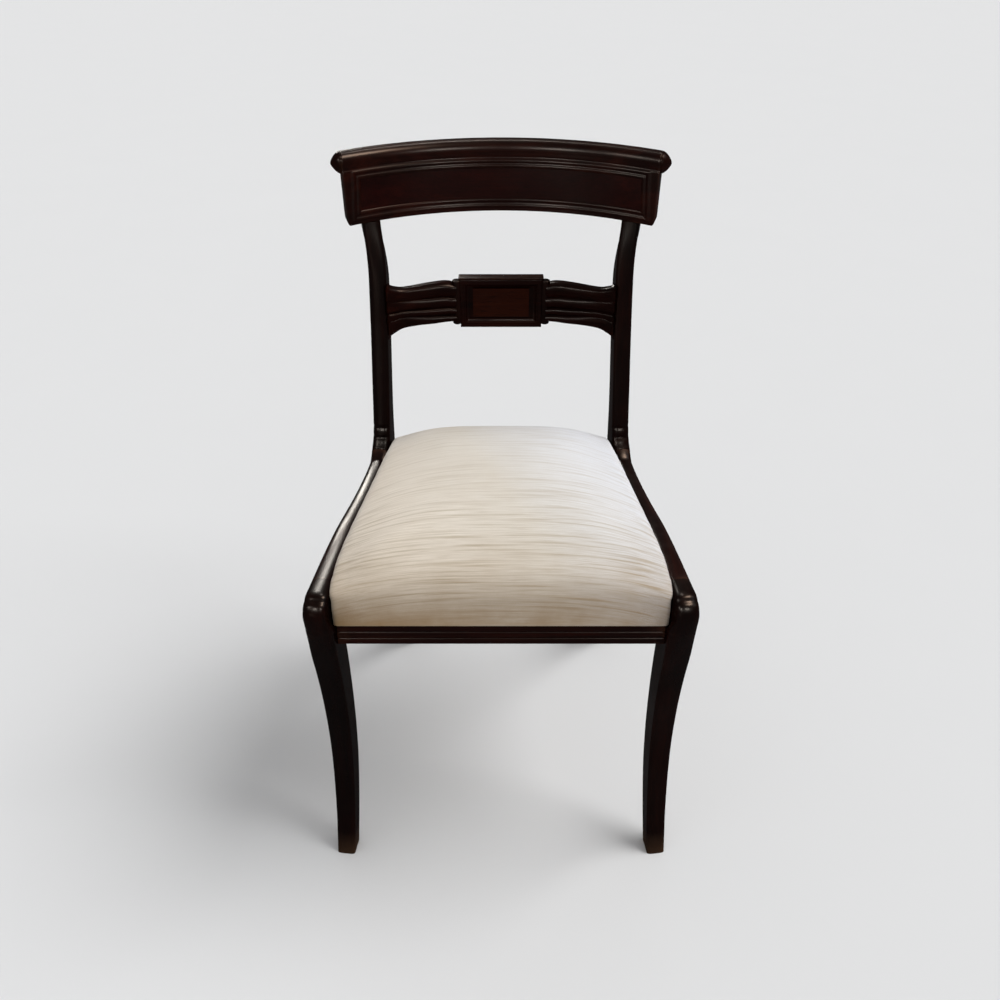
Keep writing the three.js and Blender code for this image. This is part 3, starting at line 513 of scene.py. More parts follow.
def makeWearGroup():
    # Rubbed edges, and the smudges and dust of long handling
    group, given, result = newGroup("handling", ("Rubbed", "Smudges", "Dust"), Edges=1)
    shape = addNode(group, "NewGeometry").outputs
    patchy = ranged(group, noise(group, given["Vector"], Scale=60, Detail=4), 0.4, 0.62)
    sharp = times(group, ranged(group, shape["Pointiness"], 0.515, 0.6), patchy)
    smudges = noise(group, given["Vector"], Scale=14, Detail=7, Roughness=0.62, Distortion=0.4)
    upward = ranged(group, split(group, shape["Normal"])[2], 0.55, 1)
    feed(group, result, times(group, sharp, given["Edges"]), smudges, times(group, upward, patchy))
    return group


grainGroup = makeGrainGroup()
wearGroup = makeWearGroup()
acrossRoom = (0, quarter, 0)


def addTimber(tree, place, turn, size, edges, stops):
    # Grain that runs along the piece, wear, and the grain's colour
    grain = addGroup(tree, grainGroup, mapped(tree, place, Rotation=turn), Size=size)
    wear = addGroup(tree, wearGroup, place, Edges=edges)
    return grain, wear, ramped(tree, grain["Figure"], stops)


polish = {
    "dark": (0.0038, 0.0009, 0.0006),
    "middle": (0.0088, 0.0017, 0.0010),
    "red": (0.021, 0.0036, 0.0018),
    "crestVeneer": ((0.0052, 0.0008, 0.0006), (0.0112, 0.0013, 0.0009), (0.0225, 0.0027, 0.0015)),
    "tabletVeneer": ((0.0098, 0.0018, 0.0007), (0.0162, 0.0028, 0.0009), (0.025, 0.0047, 0.0015)),
    "upright": 0.45,  # painted shade: how much darker the legs and posts are painted than the rails
    "stops": (0.12, 0.5, 0.92),
    "rubbed": (0.050, 0.020, 0.010),
    "worn": (0.060, 0.032, 0.017),  # on the tips of the feet
    "wornFrom": 0.034,
    "dust": (0.075, 0.060, 0.048),
    "pores": 0.55,
    "dusty": 0.05,
    "coat": 0.060,
    "coatSmudged": 0.55,  # what the smudges leave of the coat
    "coatRough": 0.27,
    "coatIOR": 1.5,
    "specular": 0.0,
}


def makePolished(name, turn, tones, size=1.0, feet=False, edges=0.8, gloss=1.0):
    material, tree, shader, place = startMaterial(name, 0.4)
    grain, wear, colour = addTimber(tree, place, turn, size, edges, list(zip(polish["stops"], tones)))
    smudges = wear["Smudges"]
    layers = [(times(tree, grain["Pores"], polish["pores"]), "dark"), (wear["Rubbed"], "rubbed"),
              (times(tree, wear["Dust"], polish["dusty"]), "dust")]
    if feet:
        low = ranged(tree, split(tree, place)[2], polish["wornFrom"], 0.001)
        layers.append((times(tree, low, smudges), "worn"))
    for share, tone in layers:
        colour = blendColour(tree, share, colour, polish[tone])
    coat = polish["coat"] * gloss
    feed(tree, shader, Base_Color=colour, Roughness=ranged(tree, smudges, 0.3, 0.7, 0.3, 0.5),
         Coat_Weight=ranged(tree, smudges, 0.25, 0.8, coat, coat * polish["coatSmudged"]),
         Coat_Roughness=polish["coatRough"], Coat_IOR=polish["coatIOR"],
         Specular_IOR_Level=polish["specular"], Normal=bumped(tree, grain["Height"], 0.08, 0.0005))
    return material


tones = polish["dark"], polish["middle"], polish["red"]
# Painted shade: the legs and posts get a darker copy of the same mahogany
paintedShadeTones = [tuple(value * polish["upright"] for value in tone) for tone in tones]
woodUp = makePolished("mahoganyUp", (0, 0, 0), paintedShadeTones, feet=True, edges=0.2, gloss=1.15)
woodAlong = makePolished("mahoganyAlong", (quarter, 0, 0), tones, gloss=1.45)
woodAcross = makePolished("mahoganyAcross", acrossRoom, tones)
tabletWood = makePolished("mahoganyTablet", acrossRoom, tones, edges=0)
carvedWood = makePolished("mahoganyCarved", acrossRoom, tones, edges=0.5, gloss=0.65)
crestVeneer = makePolished("crestVeneer", acrossRoom, polish["crestVeneer"], 0.7, edges=0)
tabletVeneer = makePolished("tabletVeneer", acrossRoom, polish["tabletVeneer"], 0.8, edges=0)


def makeBeech():
    material, tree, shader, place = startMaterial("beech", 0.6)
    stops = [(0.1, (0.30, 0.17, 0.085)), (0.5, (0.43, 0.27, 0.145)), (0.9, (0.52, 0.35, 0.20))]
    grain, wear, colour = addTimber(tree, place, acrossRoom, 1.4, 0.4, stops)
    colour = blendColour(tree, times(tree, grain["Pores"], 0.6), colour, (0.20, 0.10, 0.05))
    colour = blendColour(tree, times(tree, wear["Smudges"], 0.35), colour, (0.20, 0.13, 0.08))
    feed(tree, shader, Base_Color=colour, Roughness=ranged(tree, wear["Smudges"], 0, 1, 0.5, 0.8),
         Specular_IOR_Level=0.3, Normal=bumped(tree, grain["Height"], 0.5, 0.0006))
    return material


def makeSteel():
    material, tree, shader, place = startMaterial("screwSteel", 0.4)
    smudges = addGroup(tree, wearGroup, mapped(tree, place, Scale=(6, 6, 6)), Edges=1.0)["Smudges"]
    stops = [(0.35, (0.30, 0.28, 0.26)), (0.55, (0.42, 0.41, 0.40)), (0.68, (0.16, 0.09, 0.05))]
    feed(tree, shader, Base_Color=ramped(tree, smudges, stops),
         Roughness=ranged(tree, smudges, 0.3, 0.7, 0.32, 0.62),
         Metallic=ranged(tree, smudges, 0.55, 0.7, 1, 0.3), Normal=bumped(tree, smudges, 0.3, 0.0003))
    return material


def makeWeaveGroup():
    # Plain weave of slubby threads: X of the vector runs along the weft, Y across it
    group, given, result = newGroup("slubWeave", ("Height", "Weft", "Thread"), Pitch=0.001, Slub=0.5)
    wobble = noise(group, given["Vector"], output="Color", Scale=90, Detail=3)
    centred = vectorMaths(group, "SUBTRACT", wobble, (0.5, 0.5, 0.5))
    pushed = vectorMaths(group, "SCALE", centred, Scale=0.0011)
    placed = vectorMaths(group, "ADD", given["Vector"], pushed)
    along, across, _ = split(group, placed)
    turn = maths(group, "DIVIDE", math.pi, given["Pitch"])
    warp, weft = [maths(group, "SINE", times(group, way, turn)) for way in (along, across)]
    crossing = ranged(group, times(group, warp, weft), -1, 1)
    short = noise(group, placed, (26, 760, 26), Scale=1, Detail=3, Roughness=0.6)
    long = noise(group, placed, (8, 230, 8), Scale=1, Detail=2, Roughness=0.5)
    slubs = maths(group, "MAXIMUM", times(group, ranged(group, short, 0.42, 0.74), 0.7),
                  ranged(group, long, 0.45, 0.72))
    raised = maths(group, "ADD", crossing, times(group, slubs, given["Slub"]))
    feed(group, result, raised, slubs, crossing)
    return group


weaveGroup = makeWeaveGroup()
fabric = {
    "light": (0.772, 0.726, 0.652),
    "middle": (0.722, 0.664, 0.578),
    # painted light: the colours of the cloth's lit side and of its warmer shaded side
    "paintedLitSide": (0.820, 0.840, 0.890),
    "paintedShadedSide": (0.830, 0.725, 0.595),
    "slub": (0.475, 0.395, 0.292),
    "paintedShadeBrown": (0.310, 0.200, 0.100),  # painted shade, darker and browner low on the front and, less, on the sides
    "paintedShadeHeights": (0.497, 0.416),
    "pitch": 0.00085,
    "sheen": 0.25,
    "sheenTint": (0.92, 0.94, 1.0, 1),
}


def makeLinen():
    material, tree, shader, place = startMaterial("linen", 0.85)
    threads = addNode(tree, "Attribute", attribute_name="thread").outputs["Vector"]
    weave = addGroup(tree, weaveGroup, threads, Pitch=fabric["pitch"], Slub=1.3)
    cloudy = ranged(tree, noise(tree, place, Scale=9, Detail=5, Roughness=0.6), 0.35, 0.68)
    x, y, z = split(tree, place)
    # Painted light: the cloth is painted lighter and cooler on the right and towards the back, its lit
    # side, and warmer on the left and front, its shaded side
    paintedLightSide = maths(tree, "ADD", x, times(tree, y, 0.4))
    drawn = times(tree, weave["Weft"], ranged(tree, y, -0.02, -0.2, 0.42, 1.0))
    # Painted shade: the cushion is painted darker and browner towards its bottom, most at the front
    paintedShadeMask = times(tree, ranged(tree, z, *fabric["paintedShadeHeights"]), ranged(tree, cloudy, 0, 1, 0.6, 1.0))
    paintedShadeMask = times(tree, paintedShadeMask, ranged(tree, y, -0.12, -0.2, 0.4, 1.0))
    colour = blendColour(tree, cloudy, fabric["light"], fabric["middle"])
    for share, tone in ((ranged(tree, paintedLightSide, -0.03, 0.15), "paintedLitSide"),
                        (ranged(tree, paintedLightSide, 0, -0.19, 0, 0.6), "paintedShadedSide"), (drawn, "slub"),
                        (ranged(tree, weave["Thread"], 0, 0.35, 0.25, 0), "slub"), (paintedShadeMask, "paintedShadeBrown")):
        colour = blendColour(tree, share, colour, fabric[tone])
    feed(tree, shader, Base_Color=colour, Roughness=ranged(tree, weave["Thread"], 0, 1, 0.92, 0.72),
         Specular_IOR_Level=0.0, Sheen_Weight=fabric["sheen"], Sheen_Roughness=0.5,
         Sheen_Tint=fabric["sheenTint"], Normal=bumped(tree, weave["Height"], 0.5, 0.0004))
    return material


def makeCoarseCloth(name, pitch, tones, stripe=None):
    # Hessian and jute webbing, in the room's own directions; stripes run along the webbing
    material, tree, shader, place = startMaterial(name, 0.85)
    weave = addGroup(tree, weaveGroup, place, Pitch=pitch, Slub=0.9)
    colour = ramped(tree, weave["Thread"], list(zip((0.0, 0.45, 1.0), tones)))
    colour = blendColour(tree, times(tree, weave["Weft"], 0.5), colour, tones[0])
    if stripe:
        across = split(tree, place)[stripe["axis"]]
        marked = [maths(tree, "COMPARE", across, spot, stripe["half"]) for spot in stripe["middles"]]
        share = marked[0]
        for mark in marked[1:]:
            share = maths(tree, "ADD", share, mark)
        colour = blendColour(tree, times(tree, share, 0.75), colour, stripe["colour"])
    feed(tree, shader, Base_Color=colour, Roughness=ranged(tree, weave["Thread"], 0, 1, 0.95, 0.75),
         Specular_IOR_Level=0.15, Normal=bumped(tree, weave["Height"], 0.8, 0.0008))
    return material


linen = makeLinen()
beech = makeBeech()
steel = makeSteel()
coarse = {
    "hessian": ((0.16, 0.10, 0.05), (0.34, 0.24, 0.13), (0.46, 0.34, 0.20)),
    "jute": ((0.22, 0.15, 0.08), (0.46, 0.35, 0.21), (0.58, 0.46, 0.30)),
    "stripe": (0.16, 0.035, 0.02),
    "stripeHalf": 0.0016,
    "stripeShares": (0.18, 0.82),  # where the stripes lie across a strap
    "hessianPitch": 0.0016,
    "jutePitch": 0.0013,
}


def paint(piece, material):
    piece.data.materials.clear()
    piece.data.materials.append(material)


for kind, axis in (("long", 0), ("cross", 1)):
    names = [f"webbing_{kind}_{i}" for i in (1, 2, 3)]
    middles = [mix(*(end[axis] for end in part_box(name)), share) for name in names
               for share in coarse["stripeShares"]]
    stripe = {"middles": middles, "half": coarse["stripeHalf"], "colour": coarse["stripe"], "axis": axis}
    jute = makeCoarseCloth(f"jute_{kind}", coarse["jutePitch"], coarse["jute"], stripe)
    for name in names:
        paint(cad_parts[name], jute)
for name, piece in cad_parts.items():
    if "block_screw" in name:
        paint(piece, steel)
    elif "corner_block" in name or name.startswith("seat_frame"):
        paint(piece, beech)
paint(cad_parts["base_cloth"], makeCoarseCloth("hessian", coarse["hessianPitch"], coarse["hessian"]))
paint(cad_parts["tablet_panel"], tabletVeneer)
print("made the materials")

for name, mirrored in bothSides:
    for node, rings, material in (("front_leg", legRings, woodUp), ("side_rail", railRings, woodAlong),
                                  ("rear_post", postRings, woodUp)):
        bm = sweep(rings())
        bmesh.ops.transform(bm, matrix=sidePlace, verts=bm.verts)
        addPiece(f"shaped_{node}_{name}", bm, [f"{node}_{name}"], material, mirrored=mirrored)
print("made the side frames")

# Seat rails between the side frames
rail = {
    "thick": 0.0234,
    "height": 0.0292,
    "reeds": 3,
    "reedRise": 0.0028,
    "reedPower": 0.8,
    "rearLedge": 0.009,
    "arris": 0.0016,
}


def innerFace(y, inside):
    # Half the width between the side frames, where they are `inside` thick, at y in the room
    along = (y - kneeY) / math.cos(splay)
    return side["kneeWidth"] / 2 - inside / math.cos(splay) - along * math.sin(splay)


def acrossRings(ring, insideAt, steps=24):
    # Sections of a rail from the left frame to the right one
    reach = [innerFace(y, insideAt(z)) - side["seam"] for y, z in ring]
    shares = [2 * i / steps - 1 for i in range(steps + 1)]
    return [[Vector((share * x, y, z)) for x, (y, z) in zip(reach, ring)] for share in shares]


def legThickAt(height):
    return mix(side["footThick"], side["kneeThick"], height / kneeTop)


def frontRailRing():
    face = kneeY + side["frontRailSetback"] + rail["reedRise"]
    back = kneeY + side["frontRailSetback"] + rail["thick"]
    low, pitch, arris = ledge - rail["height"], rail["height"] / rail["reeds"], rail["arris"]
    ring = []
    for i in range(rail["reeds"]):
        for k in range(13 if i == rail["reeds"] - 1 else 12):
            turn = math.pi * k / 12
            bulge = rail["reedRise"] * math.sin(turn) ** rail["reedPower"]
            ring.append((face - bulge, low + pitch * (i + (1 - math.cos(turn)) / 2)))
    ring += [(y, ledge) for y in between(face, back - arris, 4)]
    ring += [(back - arris + b, ledge - arris + a) for a, b in corner((0, 0), arris, 0)]
    ring += [(back - arris + b, low + arris + a) for a, b in corner((0, 0), arris, quarter)]
    ring += [(y, low) for y in between(back - arris, face, 4)]
    return ring


def rearRailRing():
    low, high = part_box("rear_rail")
    step = low.y + rail["rearLedge"]
    arris = rail["arris"]
    ring = [(low.y, low.z + arris), (low.y, mix(low.z, ledge, 0.5)), (low.y, ledge), (step, ledge)]
    ring += [(step, mix(ledge, high.z, 0.5))]
    rounds = [(arris * math.cos(turn), arris * math.sin(turn)) for turn in arrisTurns]
    ring += [(step + arris - c, high.z - arris + s) for c, s in rounds]
    ring += [(high.y - arris + s, high.z - arris + c) for c, s in rounds]
    ring += [(high.y, mix(high.z, low.z, 0.5))]
    ring += [(high.y - arris + c, low.z + arris - s) for c, s in rounds]
    ring += [(low.y + arris, low.z)]
    return ring


bm = sweep(acrossRings(frontRailRing(), legThickAt))
addPiece("shaped_front_rail", bm, ["front_rail"], woodAcross, sharp=32)
bm = sweep(acrossRings(rearRailRing(), lambda height: side["postThick"]))
addPiece("shaped_rear_rail", bm, ["rear_rail"], woodAcross, sharp=32)
print("made the seat rails")

# The crest rail: one section carried round an arc, with a reeded frame worked on its face
crest = {
    "bow": 0.341,
    "faceMiddle": 0.46329,
    "halfWidth": 0.1965,
    "endAngle": 0.28,
    "endZone": 0.22,  # the sections turn to the end's angle over this much of the arc
    "thick": 0.0253,
    "setback": 0.0137,
    "rollRadius": 0.0141,
    "rollRise": 0.074,
    "edge": 0.002,
    "reedWide": 0.0024,  # half the width of a reed
    "reedRise": 0.0009,
    "reedEnds": (0.0130, 0.0186),  # from the rail's end to the outer and the inner reed
    "reedLow": (0.0069, 0.0139),
    "reedHigh": (0.0627, 0.0566),
    "frameSlant": 0.005,  # how much nearer the ends the frame comes at the bottom
    "slantZone": (0.010, 0.03, 0.09),  # from the end, where the slant is full and where it ends
    "quirkRise": 0.0675,
    "quirkDepth": 0.0008,
    "quirkWide": 0.0044,
    "panelSink": 0.0008,
    "panelThick": 0.0016,
    "panelPlay": 0.00008,  # round the panel
    "panelBed": 0.00005,  # and behind it
    "endRound": 0.0016,
    "cornerRound": 0.0055,
    "cornerReach": 2.2,  # up to how many roundings high the lower corners lift the sections
    "endPlaces": [0.003, 0.0045, 0.006, 0.008],  # more sections near the ends
    "bossLength": 0.0122,
}
bowCentre = Vector((0, kneeY + crest["faceMiddle"] - crest["bow"]))
endTurn = math.asin(crest["halfWidth"] / crest["bow"])
rollHeight = crestUnder + crest["rollRise"]
rollDepth = crest["setback"] + crest["rollRadius"]


def crestPlace(turn, depth):
    # Where a point at some depth behind the face lies, in the section at that turn round the arc
    size = abs(turn)
    lean = mix(size, crest["endAngle"], smooth(size, endTurn - crest["endZone"], endTurn))
    way = math.copysign(lean, turn)
    reach = crest["bow"] * math.cos(turn - way)
    run = math.sqrt(reach ** 2 + (crest["bow"] + depth) ** 2 - crest["bow"] ** 2) - reach
    face = bowCentre + crest["bow"] * Vector((math.sin(turn), math.cos(turn)))
    return face + run * Vector((math.sin(way), math.cos(way)))


def fromEndAt(turn):
    return crest["halfWidth"] - crest["bow"] * math.sin(abs(turn))


def slanted(turn, rise):
    # Draws the sections near the ends aside, towards the bottom
    full, ends, gone = crest["slantZone"]
    outside = fromEndAt(turn)
    share = smooth(outside, 0, full) * (1 - smooth(outside, ends, gone))
    share *= 1 - smooth(rise, 0, crest["quirkRise"])
    return turn + math.copysign(crest["frameSlant"] * share / crest["bow"], turn)


def crestPoint(turn, depth, rise, raised=0):
    place = crestPlace(slanted(turn, rise), depth)
    return Vector((place.x, place.y, crestUnder + (rise + raised)))


def turnAt(fromEnd):
    return math.asin((crest["halfWidth"] - fromEnd) / crest["bow"])


def rounding(fromEdge, radius):
    # How far a quarter round drops off at some distance from the edge
    if fromEdge >= radius:
        return 0
    return radius * (1 - math.sqrt(max(0, 1 - (1 - fromEdge / radius) ** 2)))


def around(middle, half, shares=(-1, -0.75, -0.4, 0, 0.4, 0.75, 1)):
    return [middle + half * share for share in shares]


def reliefAt(turn, rise):
    # How far the face stands out or in, at a place along it
    outside = fromEndAt(turn)
    relief = 0
    for i in range(2):
        low, high = crest["reedLow"][i], crest["reedHigh"][i]
        off = max(crest["reedEnds"][i] - outside, low - rise, rise - high)
        relief += crest["reedRise"] * max(0, 1 - (off / crest["reedWide"]) ** 2)
    inner = max(crest["reedEnds"][1] + crest["reedWide"] - outside,
                crest["reedLow"][1] + crest["reedWide"] - rise,
                rise - crest["reedHigh"][1] + crest["reedWide"])
    if inner < -1e-6:
        relief -= crest["panelSink"] + crest["panelThick"]
    return relief


def crestRises():
    wide = crest["reedWide"]
    rises = [crest["edge"]]
    for low in crest["reedLow"]:
        rises += around(low, wide)
    inner = crest["reedLow"][1] + wide, crest["reedHigh"][1] - wide
    rises += [inner[0] + 1e-5] + between(*inner, 8) + [inner[1] - 1e-5]
    for high in reversed(crest["reedHigh"]):
        rises += around(high, wide)
    return rises


def crestTurns():
    wide = crest["reedWide"]
    places = [crest["endRound"] * (1 - math.cos(quarter * i / 4)) for i in range(5)]
    places += crest["endPlaces"]
    for place in crest["reedEnds"]:
        places += around(place, wide)
    inner = crest["reedEnds"][1] + wide
    places += [inner + 1e-5]
    ends = sorted({round(turnAt(place), 7) for place in places})
    middles = [ends[0] * i / 44 for i in range(-43, 44)]
    return [-turn for turn in reversed(ends)] + middles + ends


def crestRing(turn):
    ring = []
    lean = crest["setback"] / crest["rollRise"]
    for rise in crestRises():
        ring.append([lean * rise - reliefAt(turn, rise), rise])
    # The hollow under the roll, then the roll itself
    start = crest["quirkRise"] - crest["quirkWide"] / 2
    for i in range(1, 8):
        rise = mix(start, start + crest["quirkWide"], i / 8)
        ring.append([lean * rise + crest["quirkDepth"] * math.sin(math.pi * i / 8), rise])
    first = math.asin((start + crest["quirkWide"] - crest["rollRise"]) / crest["rollRadius"])
    for i in range(1, 29):
        angle = mix(math.pi - first, -math.pi / 4, i / 28)
        ring.append([rollDepth + crest["rollRadius"] * math.cos(angle),
                     crest["rollRise"] + crest["rollRadius"] * math.sin(angle)])
    top = crest["rollRise"] - crest["rollRadius"]
    thick, edge = crest["thick"], crest["edge"]
    ring.append([lean * top + thick, top])
    ring += [[mix(lean * top, 0, i / 6) + thick, mix(top, edge, i / 6)] for i in range(1, 6)]
    rounds = [(edge * (1 - math.cos(turn)), edge * (1 - math.sin(turn))) for turn in arrisTurns]
    ring += [[thick - c, s] for c, s in rounds] + [[s, c] for c, s in rounds[:3]]
    return ring


def crestRings():
    rings = []
    for turn in crestTurns():
        fromEnd = fromEndAt(turn)
        ring = crestRing(turn)
        count = len(ring)
        # The ends are eased all round, and their lower corners are rounded
        inset = rounding(fromEnd, crest["endRound"])
        lift = rounding(fromEnd, crest["cornerRound"])
        made = []
        for i in range(count):
            before, after = Vector(ring[i - 1]), Vector(ring[(i + 1) % count])
            along = (after - before).normalized()
            depth, rise = Vector(ring[i]) + inset * Vector((along.y, -along.x))
            raised = lift * (1 - smooth(rise, 0, crest["cornerReach"] * crest["cornerRound"]))
            made.append(crestPoint(turn, depth, rise, raised))
        rings.append(made)
    return rings


bm = sweep(crestRings())
addPiece("shaped_crest_rail", bm, ["crest_rail"], woodAcross, sharp=35)


def panelRings():
    wide, play = crest["reedWide"], crest["panelPlay"]
    lean = crest["setback"] / crest["rollRise"]
    low, high = crest["reedLow"][1] + wide + play, crest["reedHigh"][1] - wide - play
    front, back = crest["panelSink"], crest["panelSink"] + crest["panelThick"] - crest["panelBed"]
    end = turnAt(crest["reedEnds"][1] + wide + play)
    ring = [(mix(low, high, i / 10), front) for i in range(11)]
    ring += [(mix(high, low, i / 10), back) for i in range(11)]
    rings = []
    for i in range(89):
        turn = end * (i / 44 - 1)
        rings.append([crestPoint(turn, lean * rise + depth, rise) for rise, depth in ring])
    return rings


bm = sweep(panelRings())
addPiece("veneered_crest_panel", bm, ["crest_panel"], crestVeneer, sharp=30)

# The boss's half section from its tip to its foot, as shares of its radius and length
bossProfile = [(0, 1.0), (0.06, 0.995), (0.13, 0.975), (0.21, 0.935), (0.3, 0.88), (0.39, 0.81),
               (0.49, 0.73), (0.59, 0.64), (0.68, 0.55), (0.76, 0.455), (0.83, 0.36), (0.885, 0.27),
               (0.925, 0.19), (0.945, 0.135), (0.93, 0.115), (0.95, 0.1), (0.98, 0.08), (1, 0.045),
               (0.99, 0.0)]


def bossMesh():
    bm = bmesh.new()
    rim = [bm.verts.new((r * crest["rollRadius"], 0, t * crest["bossLength"])) for r, t in bossProfile]
    edges = [bm.edges.new((a, b)) for a, b in zip(rim, rim[1:])]
    bmesh.ops.spin(bm, geom=rim + edges, cent=(0, 0, 0), axis=(0, 0, 1), angle=math.tau, steps=48,
                   use_merge=True, use_duplicate=False)
    return closed(bm)


endSpot = crestPlace(endTurn, rollDepth)
bossPlace = (Matrix.Translation((endSpot.x, endSpot.y, rollHeight))
             @ Matrix.Rotation(-crest["endAngle"], 4, "Z") @ Matrix.Rotation(quarter, 4, "Y"))
for name, mirrored in bothSides:
    bm = bossMesh()
    bmesh.ops.transform(bm, matrix=bossPlace, verts=bm.verts)
    addPiece(f"turned_boss_{name}", bm, [f"crest_boss_{name}"], woodAcross, sharp=50, mirrored=mirrored)
print("made the crest rail")

# The mid rail: two carved arms, a tablet between them and a collar at each side of it
mid = {
    "bow": 0.341,
    "faceMiddle": 0.44,
    "height": 0.634,
    "thick": 0.0137,
    "halfHeight": 0.0292,
    "reach": 0.1755,  # where the arms' outlines end, in the post
    "armEnd": 0.1665,
    "collarGap": 0.0045,  # between the tablet and the arms' first section
    "reliefEdge": 0.003,
    "tabletSize": (0.114, 0.0156, 0.073),
    "tabletDrop": 0.0005,
    "tabletFace": 0.433,
    "capRise": 0.0032,  # thickness of the strip along the tablet's top
    "capStand": 0.0012,  # how far it runs past the tablet
    "capRound": 0.0011,
    "bodyLess": 0.0008,
    "bodyRound": 0.0016,
    "frameWide": 0.0095,
    "frameSlope": 0.0072,
    "frameDeep": 0.0034,
    "frameStep": (0.0003, 0.0007),  # inwards and back
    "panelSeat": (0.00002, 0.0012),
    "collarRadius": 0.0062,
    "collarHeight": 0.0635,
    "collarRound": 0.0014,
    "collarShare": 0.6,
    "edge": 0.0042,
    "lobe": 0.0046,
    "lobeEnds": (0.09, 0.145),  # from here to there the lobes get flatter, towards the post
    "lobeLeft": 0.3,  # of their height
    "lobePower": 0.72,
    "cutEnds": (0.060, 0.150),
    "longCut": 0.0016,  # depth of the groove that runs on to the post
    "longCutEnds": (0.085, 0.12),
    "longCutWide": 0.022,  # as a share of the arm's height
    "rows": (0, 14, 26, 40, 56),  # the rows of the mesh that lie on the cuts
}
armOver = [(0.2, 0.95), (0.36, 0.93), (0.41, 1), (0.47, 1.03), (0.58, 1), (0.75, 0.95), (0.83, 1.06),
           (0.9, 1.27), (1, 1.32)]
armBelow = [(0.2, -1), (0.4, -0.98), (0.53, -1.01), (0.66, -1), (0.77, -1.03), (0.83, -1.18),
            (0.89, -1.34), (1, -1.36)]
overCurve = curve(armOver, 0, mid["reach"], mid["height"], mid["halfHeight"])
belowCurve = curve(armBelow, 0, mid["reach"], mid["height"], mid["halfHeight"])
midCentre = kneeY + mid["faceMiddle"] - mid["bow"]
# The cuts between the lobes, as shares of the arm's height at the tablet and at the post
lobeCuts = [(0, 0), (0.2, 0.3), (0.39, 0.46), (0.66, 0.7), (1, 1)]


def cutsAt(x):
    along = smooth(x, *mid["cutEnds"])
    return [mix(a, b, along) for a, b in lobeCuts]


def rowShare(cuts, row):
    # The rows of the mesh run along the cuts, and stand closer beside them
    for i, (start, end) in enumerate(zip(mid["rows"], mid["rows"][1:])):
        if row <= end:
            turn = math.pi * (row - start) / (end - start)
            return mix(cuts[i], cuts[i + 1], (1 - math.cos(turn)) / 2)


def armRelief(x, share):
    cuts = cutsAt(x)
    groove = mid["longCut"] * math.exp(-((share - cuts[2]) / mid["longCutWide"]) ** 2)
    groove *= smooth(x, *mid["longCutEnds"])
    for low, high in zip(cuts, cuts[1:]):
        if low <= share <= high:
            q = (share - low) / (high - low)
            bulge = (4 * q * (1 - q)) ** mid["lobePower"]
            return mid["lobe"] * mix(1, mid["lobeLeft"], smooth(x, *mid["lobeEnds"])) * bulge - groove
    return 0


def armRings():
    rings = []
    start = mid["tabletSize"][0] / 2 + mid["collarGap"]
    edge, thick = mid["edge"], mid["thick"]
    rounds = [(edge * (1 - math.cos(quarter * k / 6)), edge * (1 - math.sin(quarter * k / 6)))
              for k in range(7)]
    for i in range(45):
        x = mix(start, mid["armEnd"], i / 44)
        top, low = valueAt(overCurve, x, 0, 1), valueAt(belowCurve, x, 0, 1)
        ring = []
        cuts = cutsAt(x)
        for k in range(mid["rows"][-1] + 1):
            share = rowShare(cuts, k)
            height = mix(low, top, share)
            near = min(height - low, top - height)
            relief = armRelief(x, share) * smooth(near, 0, mid["reliefEdge"])
            ring.append((rounding(near, edge) - relief, height))
        ring += [(thick - s, top - c) for c, s in rounds[1:]]
        ring += [(thick, height) for height in between(top - edge, low + edge, 6)]
        ring += [(thick - c, low + s) for c, s in rounds[:6]]
        section = []
        for depth, height in ring:
            y = midCentre + math.sqrt((mid["bow"] + depth) ** 2 - x ** 2)
            limit = innerFace(y, side["postThick"]) - side["seam"]
            section.append(Vector((min(x, limit), y, height)))
        rings.append(section)
    return rings


def bevelled(bm, edges, radius):
    bmesh.ops.bevel(bm, geom=edges, offset=radius, segments=4, profile=0.5, affect="EDGES", material=-1)


def block(size, depth, height):
    bm = bmesh.new()
    bmesh.ops.create_cube(bm, size=1)
    bmesh.ops.scale(bm, vec=size, verts=bm.verts)
    bmesh.ops.translate(bm, vec=(0, kneeY + mid["tabletFace"] + depth, height), verts=bm.verts)
    return bm


def foremost(bm):
    return min(bm.faces, key=lambda face: face.calc_center_median().y)


def tabletMesh():
    width, thick, height = mid["tabletSize"]
    wide, stand = mid["frameWide"], mid["capStand"]
    bm = block((width - 2 * mid["bodyLess"], thick - stand, height - mid["capRise"]), (thick + stand) / 2,
               mid["height"] - mid["tabletDrop"] - mid["capRise"] / 2)
    bevelled(bm, list(foremost(bm).edges), mid["bodyRound"])
    # The frame, a step, a flat, a hollow in three slopes and the seat of the panel
    steps = [(wide * 0.55, 0), mid["frameStep"], (wide * 0.25, 0)]
    slopes = ((0.33, 0.5), (0.33, 0.35), (0.34, 0.15))
    steps += [(mid["frameSlope"] * a, mid["frameDeep"] * b) for a, b in slopes] + [mid["panelSeat"]]
    front = foremost(bm)
    for inwards, deep in steps:
        bmesh.ops.inset_region(bm, faces=[front], thickness=inwards, depth=-deep)
    return bm


for name, mirrored in bothSides:
    addPiece(f"carved_arm_{name}", sweep(armRings()), ["mid_rail"], carvedWood, sharp=42, mirrored=mirrored)
addPiece("carved_tablet", tabletMesh(), ["mid_rail"], tabletWood, sharp=30)
width, thick, height = mid["tabletSize"]
bm = block((width + 2 * mid["capStand"], thick, mid["capRise"]), thick / 2,
           mid["height"] - mid["tabletDrop"] + height / 2 - mid["capRise"] / 2)
bevelled(bm, bm.edges[:], mid["capRound"])
addPiece("tablet_cap", bm, ["mid_rail"], woodAcross, sharp=30)

